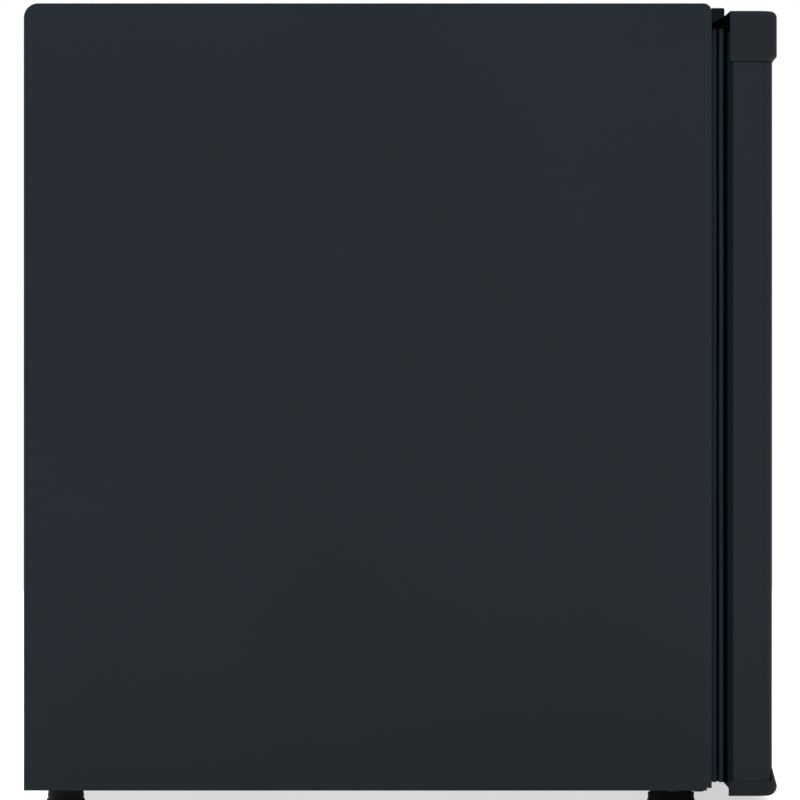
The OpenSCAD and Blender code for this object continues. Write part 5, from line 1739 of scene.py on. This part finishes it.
@dataclass
class Interior:
    """The formed liner, the freezer box with its flap and tray, the shelf and the thermostat."""

    shop: Workshop
    liner_t: float = 1.5
    corner_r: float = 7.0
    mouth_r: float = 3.0
    mouth_steps: int = 4
    floor_z: float = 44.0
    roof_z: float = 455.0
    half_x: float = 184.5
    back_y: float = 190.0
    step_y: float = 58.0
    step_z: float = 207.0
    box_corner_r: float = 8.0
    box_t: float = 1.6
    rod: float = 5.0
    wire: float = 2.6
    wires: int = 23
    digit_r: float = 25.2
    tick_r: Pair = (23.4, 25.4)

    def build(self) -> None:
        """Builds every piece inside the cabinet."""
        self._liner()
        self._freezer()
        self._flap()
        self._drip_tray()
        self._shelf()
        self._thermostat()

    def _liner(self) -> None:
        """The vacuum-formed liner: soft corners, a rolled mouth, a flange and pulled-in ledges."""
        box = Extent.of("inner_liner")
        front = box.y0 + self.mouth_r
        near = 0.01
        outline = [(front, self.floor_z), (self.step_y, self.floor_z), (self.step_y, self.step_z),
                   (self.back_y, self.step_z), (self.back_y, self.roof_z), (front, self.roof_z)]
        obj = prism("inner_liner_formed", outline, "x", -self.half_x, self.half_x)
        round_edges(obj, lambda a, b: max(abs(p.y - front) for p in (a, b)) >= near, self.corner_r, 6)
        with opened(obj.data) as bm:
            mouth = [f for f in bm.faces if all(abs(v.co.y / MM - front) < near for v in f.verts)]
            bmesh.ops.delete(bm, geom=mouth, context="FACES")
            self._roll_mouth(bm, box)
            bm.normal_update()
            back = [f for f in bm.faces if f.calc_center_median().y / MM > self.back_y - near]
            if back[0].normal.y > 0:
                bmesh.ops.reverse_faces(bm, faces=bm.faces)
        mod = obj.modifiers.new("wall", "SOLIDIFY")
        mod.thickness, mod.offset = self.liner_t * MM, -1.0
        settle(obj)
        ledges = []
        for depth, y, z, r in ((9.5, (-62.0, 148.0), (342.2, 349.2), 2.4),
                               (11.0, (-117.0, 60.0), (199.0, 206.9), 2.6),
                               (9.0, (-117.0, 190.6), (215.8, 221.8), 2.2)):
            for side in Side:
                lo, hi = sorted((side.value * (self.half_x - depth), side.value * (self.half_x + 0.8)))
                ledges.append(soft_block("ledge", (lo, hi), y, z, r, 4))
        obj = join("inner_liner_formed", [obj, *ledges])
        self.shop.hand_over(obj, Body.CABINET, Slot.LINER, "inner_liner", angle=40)

    def _roll_mouth(self, bm: bmesh.types.BMesh, box: Extent) -> None:
        """Rolls the open edge of the liner outwards and spreads it into the flange."""
        edges = [e for e in bm.edges if e.is_boundary]
        roots: dict[bmesh.types.BMVert, Vector] = {v: v.co / MM for e in edges for v in e.verts}
        for k in range(1, self.mouth_steps + 2):
            made = bmesh.ops.extrude_edge_only(bm, edges=edges)["geom"]
            edges = [g for g in made if isinstance(g, bmesh.types.BMEdge) and g.is_boundary]
            rolled: dict[bmesh.types.BMVert, Vector] = {}
            for v in (g for g in made if isinstance(g, bmesh.types.BMVert)):
                root = min(roots.values(), key=lambda p: (self._ring(p, k - 1, box) - v.co / MM).length)
                v.co = self._ring(root, k, box) * MM
                rolled[v] = root
            roots = rolled

    def _outward(self, p: Vector) -> Vector:
        """The direction away from the mouth at a point of its edge."""
        r = self.corner_r
        dx = p.x - max(-self.half_x + r, min(self.half_x - r, p.x))
        dz = p.z - max(self.floor_z + r, min(self.roof_z - r, p.z))
        return Vector((dx, 0, dz)).normalized()

    def _ring(self, root: Vector, k: int, box: Extent) -> Vector:
        """Where a mouth point goes in ring k: round the lip, then out to the flange's edge."""
        a = quarter(self.mouth_steps)[min(k, self.mouth_steps)]
        p = root + self._outward(root) * self.mouth_r * (1 - math.cos(a))
        p.y = root.y - self.mouth_r * math.sin(a)
        if k > self.mouth_steps:
            way = self._outward(root)
            p += way * (self.corner_r + self.mouth_r) * (1 / max(abs(way.x), abs(way.z)) - 1)
            p.x *= box.x1 / (self.half_x + self.mouth_r)
            z0, z1 = self.floor_z - self.mouth_r, self.roof_z + self.mouth_r
            p.z = box.z0 + (box.z1 - box.z0) * (p.z - z0) / (z1 - z0)
        return p

    def _freezer(self) -> None:
        """The roll-bonded freezer box with its raised channels, its frame and its spacers."""
        box = Extent.of("freezer_box")
        t, r = self.box_t, self.box_corner_r
        metal = self.shop.finish(Slot.ROLL_BOND)
        shell = loft("box", [upright_ring(box.x1 - inset, box.z0 + inset, box.z1 - inset, y, r - inset)
                             for inset, y in ((t, box.y1 - t), (t, box.y0), (0, box.y0), (0, box.y1 - 0.8),
                                              (0.8, box.y1))])
        paths = [(self._serpentine(box.x1 - 22, box.y0 + 16, box.y1 - 16, z, 7), (0, 0, 1))
                 for z in (box.z0 + t, box.z1 - t)]
        near, far = box.y0 + 18, box.y1 - 18
        low, middle, high = box.z0 + 22, box.z0 + 47, box.z1 - 22
        for side in Side:
            x = side.value * (box.x1 - t)
            paths.append(([(x, near, low), (x, far, low), (x, far, middle), (x, near, middle),
                           (x, near, high), (x, far, high)], (1, 0, 0)))
        channels = [self.shop.bead("channel", path, 8.0, 2.4, 9.0, metal, up=up) for path, up in paths]
        obj = join("freezer_box_roll_bond", [dress(shell, metal), *channels])
        self.shop.hand_over(obj, Body.CABINET, Slot.ROLL_BOND, "freezer_box")
        self.shop.refine("freezer_frame", Slot.LINER, 1.0, 3)
        self.shop.refine("freezer_spacers", Slot.LINER, 0.6)

    @staticmethod
    def _serpentine(half: float, y0: float, y1: float, z: float, rows: int) -> list[Triple]:
        """The corners of a path that winds from front to back."""
        points: list[Triple] = []
        for i in range(rows):
            y = y0 + (y1 - y0) * i / (rows - 1)
            ends = [(-half, y, z), (half, y, z)]
            points += ends if i % 2 == 0 else ends[::-1]
        return points

    def _flap(self) -> None:
        """The clear freezer flap, with upright ribs moulded on its inner side."""
        box = Extent.of("freezer_flap")
        rib = soft_block("rib", (-0.9, 0.9), (box.y1 - 0.8, box.y1 + 0.9), (box.z0 + 12, box.z1 - 14), 0.4, 2)
        self._ribbed("freezer_flap", Body.FLAP, 0.8, rib, 13, 148.0)

    def _drip_tray(self) -> None:
        """The drip tray, with low ribs that keep it off its load."""
        box = Extent.of("drip_tray")
        floor = box.z1 - 20.0 + 1.9
        rib = soft_block("rib", (-1.1, 1.1), (box.y0 + 22, box.y1 - 18), (floor, floor + 1.4), 0.5, 2)
        self._ribbed("drip_tray", Body.TRAY, 0.7, rib, 9, 140.0)

    def _ribbed(self, node: str, body: Body, edge: float, rib: Obj, count: int, half: float) -> None:
        """A clear moulding with a row of ribs.

        Args:
            node: The node that it stands for.
            body: The body that it rides on.
            edge: Radius of its edges.
            rib: One rib, in the middle; it is removed.
            count: How many ribs.
            half: Half the way from the first rib to the last.
        """
        clear = self.shop.finish(Slot.CLEAR)
        shell = self.shop.shaped(node, "shell", clear, edge)
        ribs = self.shop.row("ribs", rib, count, (-half, 0, 0), (2 * half / (count - 1), 0, 0), clear)
        self.shop.hand_over(join(f"{node}_ribbed", [shell, ribs]), body, Slot.CLEAR, node)

    def _shelf(self) -> None:
        """The coated wire shelf: a bent frame rod, welded wires, cross stays and a clip-on trim."""
        box = Extent.of("wire_shelf")
        wire = self.shop.finish(Slot.WIRE)
        rod, fine, thick, bend = self.rod, self.wire, self.rod * 0.8, 14.0
        z = box.z0 + rod / 2
        x, y0, y1 = box.x1 - rod / 2, box.y0 + rod / 2, box.y1 - rod / 2
        outline = [(0, y0, z), (x, y0, z), (x, y1, z), (-x, y1, z), (-x, y0, z)]
        frame = self.shop.bead("frame", outline, rod, rod, bend, wire, closed=True, facets=20)
        half, lift, third = x - bend, z + 3.0, (y1 - y0) / 3
        part = self.shop.bead("wire", [(0, y0 - 1.2, 0), (0, y1 + 1.2, 0)], fine, fine, 1, wire)
        pitch = 2 * half / (self.wires - 1)
        wires = self.shop.row("wires", part, self.wires, (-half, 0, lift), (pitch, 0, 0), wire)
        stay = self.shop.bead("stay", [(-x - 0.8, 0, 0), (x + 0.8, 0, 0)], thick, thick, 1, wire, facets=16)
        stays = self.shop.row("stays", stay, 2, (0, y0 + third, lift - 3.1), (0, third, 0), wire)
        obj = join("wire_shelf_welded", [frame, wires, stays])
        self.shop.hand_over(obj, Body.SHELF, Slot.WIRE, "wire_shelf", angle=60, weighted=False)
        self.shop.refine("shelf_trim", Slot.LINER, 0.9, 3, body=Body.SHELF)

    def _thermostat(self) -> None:
        """The thermostat housing with its dial marks, its knob, its switch and the sensor's tube."""
        zinc = self.shop.finishes.bright_zinc
        white = self.shop.finishes.frost_white
        housing = self.shop.shaped("thermostat_housing", "housing", white, 2.2, 4)
        face = Extent.of("thermostat_housing").x0
        knob = Extent.of("thermostat_knob")
        cy, cz = knob.centre[1:]
        marks = []
        for k in range(6):
            a = math.radians(60 * k)
            y, z = cy - math.sin(a) * self.digit_r, cz + math.cos(a) * self.digit_r
            marks.append(self._digit(str(k), (face, y, z), 4.4))
            if k < 5:
                marks += [self._tick((face, cy, cz), a + math.radians(15 * j)) for j in (1, 2, 3)]
        obj = join("thermostat_housing_marked", [housing, *marks])
        self.shop.hand_over(obj, Body.CABINET, Slot.LINER, "thermostat_housing")
        self._knob(knob)
        self.shop.refine("thermostat_switch", Slot.PLATED, 0.6, 2, zinc)
        self.shop.refine("sensor_tube", Slot.COPPER, 0.0)

    def _digit(self, label: str, at: Triple, height: float) -> Obj:
        """A raised dial number that faces -X.

        Args:
            label: The number.
            at: Its middle, on the housing's face.
            height: Height of the number.

        Returns:
            The number's mesh.
        """
        curve = bpy.data.curves.new("digit", "FONT")
        curve.body, curve.size, curve.extrude = label, height * MM * 1.4, 0.1 * MM
        curve.align_x, curve.align_y = "CENTER", "CENTER"
        text = linked("digit", curve)
        mesh = evaluated(text)
        bpy.data.objects.remove(text)
        x, y, z = metres((at[0] - 0.02, at[1], at[2]))
        mesh.transform(Matrix(((0, 0, -1, x), (-1, 0, 0, y), (0, 1, 0, z), (0, 0, 0, 1))))
        with opened(mesh) as bm:
            bmesh.ops.remove_doubles(bm, verts=bm.verts, dist=WELD)
            bmesh.ops.recalc_face_normals(bm, faces=bm.faces)
        return dress(linked("digit", mesh), self.shop.finishes.ink)

    def _tick(self, centre: Triple, angle: float) -> Obj:
        """A short raised stroke of the dial, at a turn from the top in radians."""
        x, y, z = centre
        mark = soft_block("tick", (x - 0.12, x + 0.1), (-0.3, 0.3), self.tick_r, 0.05, 1)
        mark.data.transform(Matrix.Translation(metres((0, y, z))) @ Matrix.Rotation(angle, 4, "X"))
        return dress(mark, self.shop.finishes.ink)

    def _knob(self, box: Extent) -> None:
        """The fluted knob with its grip bar and pointer line."""
        white = self.shop.finishes.frost_white
        cy, cz, r = box.centre[1], box.centre[2], (box.z1 - box.z0) / 2
        sides, flutes, shaft_r = 240, 30, 3.0
        face, base, bar = box.x0 + 8.0, box.x1 - 3.0, 5.0

        def ring(x: float, radius: float, depth: float) -> list[Triple]:
            """A fluted circle at one height."""
            out = []
            for t in turns(sides):
                rr = radius - depth * max(0.0, math.cos(flutes * t)) ** 2
                out.append((x, cy + rr * math.sin(t), cz + rr * math.cos(t)))
            return out

        body = loft("body", [
            ring(base, r * 0.3, 0), ring(base, r - 0.6, 0.3), ring(base - 0.4, r - 0.05, 0.6),
            ring(face + 1.4, r - 0.5, 0.6), ring(face + 0.5, r - 0.8, 0.5), ring(face + 0.1, r - 1.5, 0.2),
            ring(face, r - 2.4, 0), ring(face, r * 0.2, 0)])
        long = (cz - r + 1.4, cz + r - 1.4)
        grip = soft_block("grip", (box.x0, face + 0.6), (cy - bar, cy + bar), long, 1.8, 4)
        near, far = base - 0.2, box.x1 - 0.05
        corners = [(0, near, 0), (shaft_r, near, 0), (shaft_r, far, 0), (0, far, 0)]
        shaft = turned("shaft", corners, (0, cy, cz), "x", 32)
        plain = [dress(part, white) for part in (body, grip, shaft)]
        line = soft_block("pointer", (box.x0 - 0.1, box.x0 + 0.3), (cy - 0.6, cy + 0.6), (cz + 4, cz + r - 4),
                          0.1, 1)
        obj = join("thermostat_knob_fluted", [*plain, dress(line, self.shop.finishes.ink)])
        self.shop.hand_over(obj, Body.KNOB, Slot.LINER, "thermostat_knob", angle=40)


# ---------------------------------------------------------------- cooling


@dataclass
class CoolingBay:
    """The compressor on its plate, and every tube of the cooling circuit."""

    shop: Workshop
    seam_r: float = 62.0
    axis: Pair = (30.0, 160.0)
    seam_z: float = 86.3
    neck_r: float = 3.0
    sleeve_at: Triple = (150.0, 211.5, 0.0)

    def build(self) -> None:
        """Builds every piece of the cooling circuit."""
        self._compressor()
        zinc = self.shop.finishes.bright_zinc
        self.shop.refine("compressor_plate", Slot.PLATED, 0.3)
        self.shop.refine("compressor_grommets", Slot.RUBBER, 0.7, 3)
        self.shop.refine("compressor_bolts", Slot.PLATED, 0.45, material=zinc)
        self.shop.refine("relay_cover", Slot.MOULDED, 2.2, 4)
        self.shop.refine("cord_gland", Slot.RUBBER, 0.4, 3)
        self._tubes()
        self._drier()

    def _compressor(self) -> None:
        """The welded shell with its seam, its feet plate and a sealed process stub."""
        enamel = self.shop.finish(Slot.COMPRESSOR)
        shell = self.shop.shaped("compressor", "shell", enamel, 1.2, 3, 34)
        (cx, cy), r = self.axis, self.seam_r
        circle = [(cx + r * math.cos(t), cy + r * math.sin(t), self.seam_z) for t in turns(90)]
        seam = self.shop.bead("seam", circle, 1.6, 1.6, 0, enamel, closed=True)
        x, y, z = cx + 22, cy - 58, 104.0
        stub = self.shop.bead("stub", [(x - 4, y + 8, z), (x + 3, y - 12, z), (x + 3, y - 12, z + 26)],
                              5.0, 5.0, 7.0, self.shop.finish(Slot.COPPER), facets=20, up=(1.0, 0.0, 0.0))
        obj = join("compressor_welded", [shell, seam, stub])
        self.shop.hand_over(obj, Body.CABINET, Slot.COMPRESSOR, "compressor")

    def _tubes(self) -> None:
        """The copper tubes, with a foam sleeve round the cold one."""
        copper = self.shop.finish(Slot.COPPER)
        for node in ("condenser_left", "condenser_right", "condenser_outlet", "discharge_tube",
                     "capillary_tube"):
            obj = self.shop.shaped(node, f"{node}_drawn", copper, 0.0)
            self.shop.hand_over(obj, Body.CABINET, Slot.COPPER, node, angle=40, weighted=False)
        pipe = self.shop.shaped("suction_tube", "pipe", copper, 0.0)
        inner, outer, low, high, end = 3.2, 6.2, 100.0, 176.0, 1.2
        corners = [(inner, low, 0), (outer, low, end), (outer, high, end), (inner, high, 0)]
        sleeve = turned("sleeve", corners, self.sleeve_at, sides=36)
        obj = join("suction_tube_sleeved", [pipe, dress(sleeve, self.shop.finishes.cable_sleeve)])
        self.shop.hand_over(obj, Body.CABINET, Slot.COPPER, "suction_tube", angle=40, weighted=False)

    def _drier(self) -> None:
        """The spun filter drier, drawn down to the tubes at both ends."""
        box = Extent.of("filter_drier")
        r = (box.x1 - box.x0) / 2 - 0.05
        cx, cz = box.centre[0], box.centre[2]
        n = self.neck_r
        y0, y1 = box.y0, box.y1
        obj = turned("filter_drier_spun", [
            (0, y0, 0), (n + 0.6, y0, 0.4), (n + 0.8, y0 + 3, 1.0), (r, y0 + 12, 4.0), (r, y0 + 19, 0.6),
            (r - 0.85, y0 + 20.2, 0.6), (r, y0 + 21.4, 0.6), (r, y1 - 14, 4.0), (n + 0.5, y1 - 4, 1.0),
            (n + 0.3, y1, 0.4), (0, y1, 0)], (cx, 0, cz), "y", steps=5)
        self.shop.hand_over(obj, Body.CABINET, Slot.COPPER, "filter_drier")


# ---------------------------------------------------------------- stage


def backdrop_rays(tree: Tree) -> Socket:
    """How much of the backdrop a ray sees: all straight or through clear plastic, less when mirrored."""
    path = add_node(tree, "ShaderNodeLightPath")
    straight = math_node(tree, "MAXIMUM", path.outputs["Is Camera Ray"], path.outputs["Is Transmission Ray"])
    mirrored = math_node(tree, "MULTIPLY", path.outputs["Is Glossy Ray"], MIRRORED_SHARE)
    return math_node(tree, "MAXIMUM", straight, mirrored)


@dataclass
class Studio:
    """A white studio: pale floor, soft lights, and a long lens beside the refrigerator.

    The camera's distance and the lights' places and sizes are in metres.
    """

    distance: float = 5.543
    lens: float = 400.0
    sensor: float = 36.0
    middle: Pair = (0.4, 252.6)
    floor_half: float = 6000.0
    floor_shade: float = 0.82

    def build(self) -> None:
        """Builds the world, the floor, the lights and the camera."""
        self._world()
        self._floor()
        for name, place, size, watts in (
                ("left_light", (-3.6, 0.0, 2.8), 2.6, 57.0),
                ("right_light", (1.9, 0.2, 2.5), 1.8, 24.0),
                ("front_light", (0.2, -2.0, 2.5), 1.8, 2.5),
                ("rear_light", (-0.2, 2.0, 2.5), 1.8, 24.0),
                ("top_light", (0.0, 0.0, 3.2), 2.6, 16.0)):
            self._light(name, place, size, watts)
        self._camera()
        bpy.context.scene.view_settings.view_transform = "Standard"

    @staticmethod
    def _world() -> None:
        """A world that is a white backdrop, and lights softly from above and hardly at eye level."""
        world = bpy.data.worlds.new("studio")
        world.use_nodes = True
        tree = world.node_tree
        tree.nodes.clear()
        coord = add_node(tree, "ShaderNodeTexCoord")
        split = add_node(tree, "ShaderNodeSeparateXYZ", {0: coord.outputs["Generated"]})
        strength = mapped(tree, split.outputs["Z"], (0.18, 0.75), (0.05, 1.0))
        ambient = add_node(tree, "ShaderNodeBackground", {"Color": WHITE, "Strength": strength})
        white = add_node(tree, "ShaderNodeBackground", {"Color": WHITE})
        mix = add_node(tree, "ShaderNodeMixShader", {0: backdrop_rays(tree), 1: ambient.outputs[0],
                                                     2: white.outputs[0]})
        add_node(tree, "ShaderNodeOutputWorld", {0: mix.outputs[0]})
        bpy.context.scene.world = world

    def _floor(self) -> None:
        """A pale floor that fades to white away from the refrigerator."""
        half, shade = self.floor_half, self.floor_shade
        corners = [(-half, -half, 0), (half, -half, 0), (half, half, 0), (-half, half, 0)]
        floor = mesh_object("floor", corners, [[0, 1, 2, 3]])
        if floor.data.polygons[0].normal.z < 0:
            floor.data.flip_normals()
        recipe = Recipe("pale_floor")
        recipe.fixed(Roughness=0.9, Specular_IOR_Level=0.1, Base_Color=(shade, shade, shade, 1.0),
                     Emission_Color=WHITE)
        tree = recipe.tree
        coord = add_node(tree, "ShaderNodeTexCoord")
        far = add_node(tree, "ShaderNodeVectorMath", {0: coord.outputs["Object"]}, operation="LENGTH")
        fade = mapped(tree, far.outputs["Value"], (0.25, 0.9), (0.62, 1.0))
        recipe.link(math_node(tree, "MULTIPLY", fade, backdrop_rays(tree)), "Emission Strength")
        dress(floor, recipe.mat)
        floor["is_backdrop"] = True

    @staticmethod
    def _light(name: str, place: Triple, size: float, watts: float) -> None:
        """A soft square light that faces the middle of the refrigerator."""
        data = bpy.data.lights.new(name, "AREA")
        data.energy, data.size, data.color = watts, size, (1.0, 1.0, 1.0)
        obj = linked(name, data)
        obj.location = place
        middle = Vector((0, 0, 0.25))
        obj.rotation_euler = (middle - Vector(place)).to_track_quat("-Z", "Y").to_euler()

    def _camera(self) -> None:
        """A long lens level with the middle of the left side."""
        data = bpy.data.cameras.new("camera")
        data.lens, data.sensor_width, data.clip_end = self.lens, self.sensor, 50.0
        obj = linked("camera", data)
        side = Extent.of("side_panel_left").x0 * MM
        obj.location = (side - self.distance, self.middle[0] * MM, self.middle[1] * MM)
        obj.rotation_euler = (math.radians(90), 0, math.radians(-90))
        bpy.context.scene.camera = obj


def plain_lists(value: object) -> object:
    if isinstance(value, dict):
        return {str(k): plain_lists(v) for k, v in value.items()}
    if isinstance(value, (int, float, str, bool)) or value is None:
        return value
    return [plain_lists(v) for v in value]


def main() -> None:
    """Builds the refrigerator's looks round its frame."""
    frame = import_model()
    before = plain_lists(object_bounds())
    FRAME_NODES.update(frame["nodes"])
    shop = Workshop()
    for assembly in (CabinetShell, StandingParts, Interior, CoolingBay, HingeSet, DoorLeaf):
        assembly(shop).build()
    Studio().build()
    {"cad": before, "finished": plain_lists(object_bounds())}


if __name__ == "__main__":
    logging.basicConfig(level=logging.INFO, format="%(name)s: %(message)s")
    main()
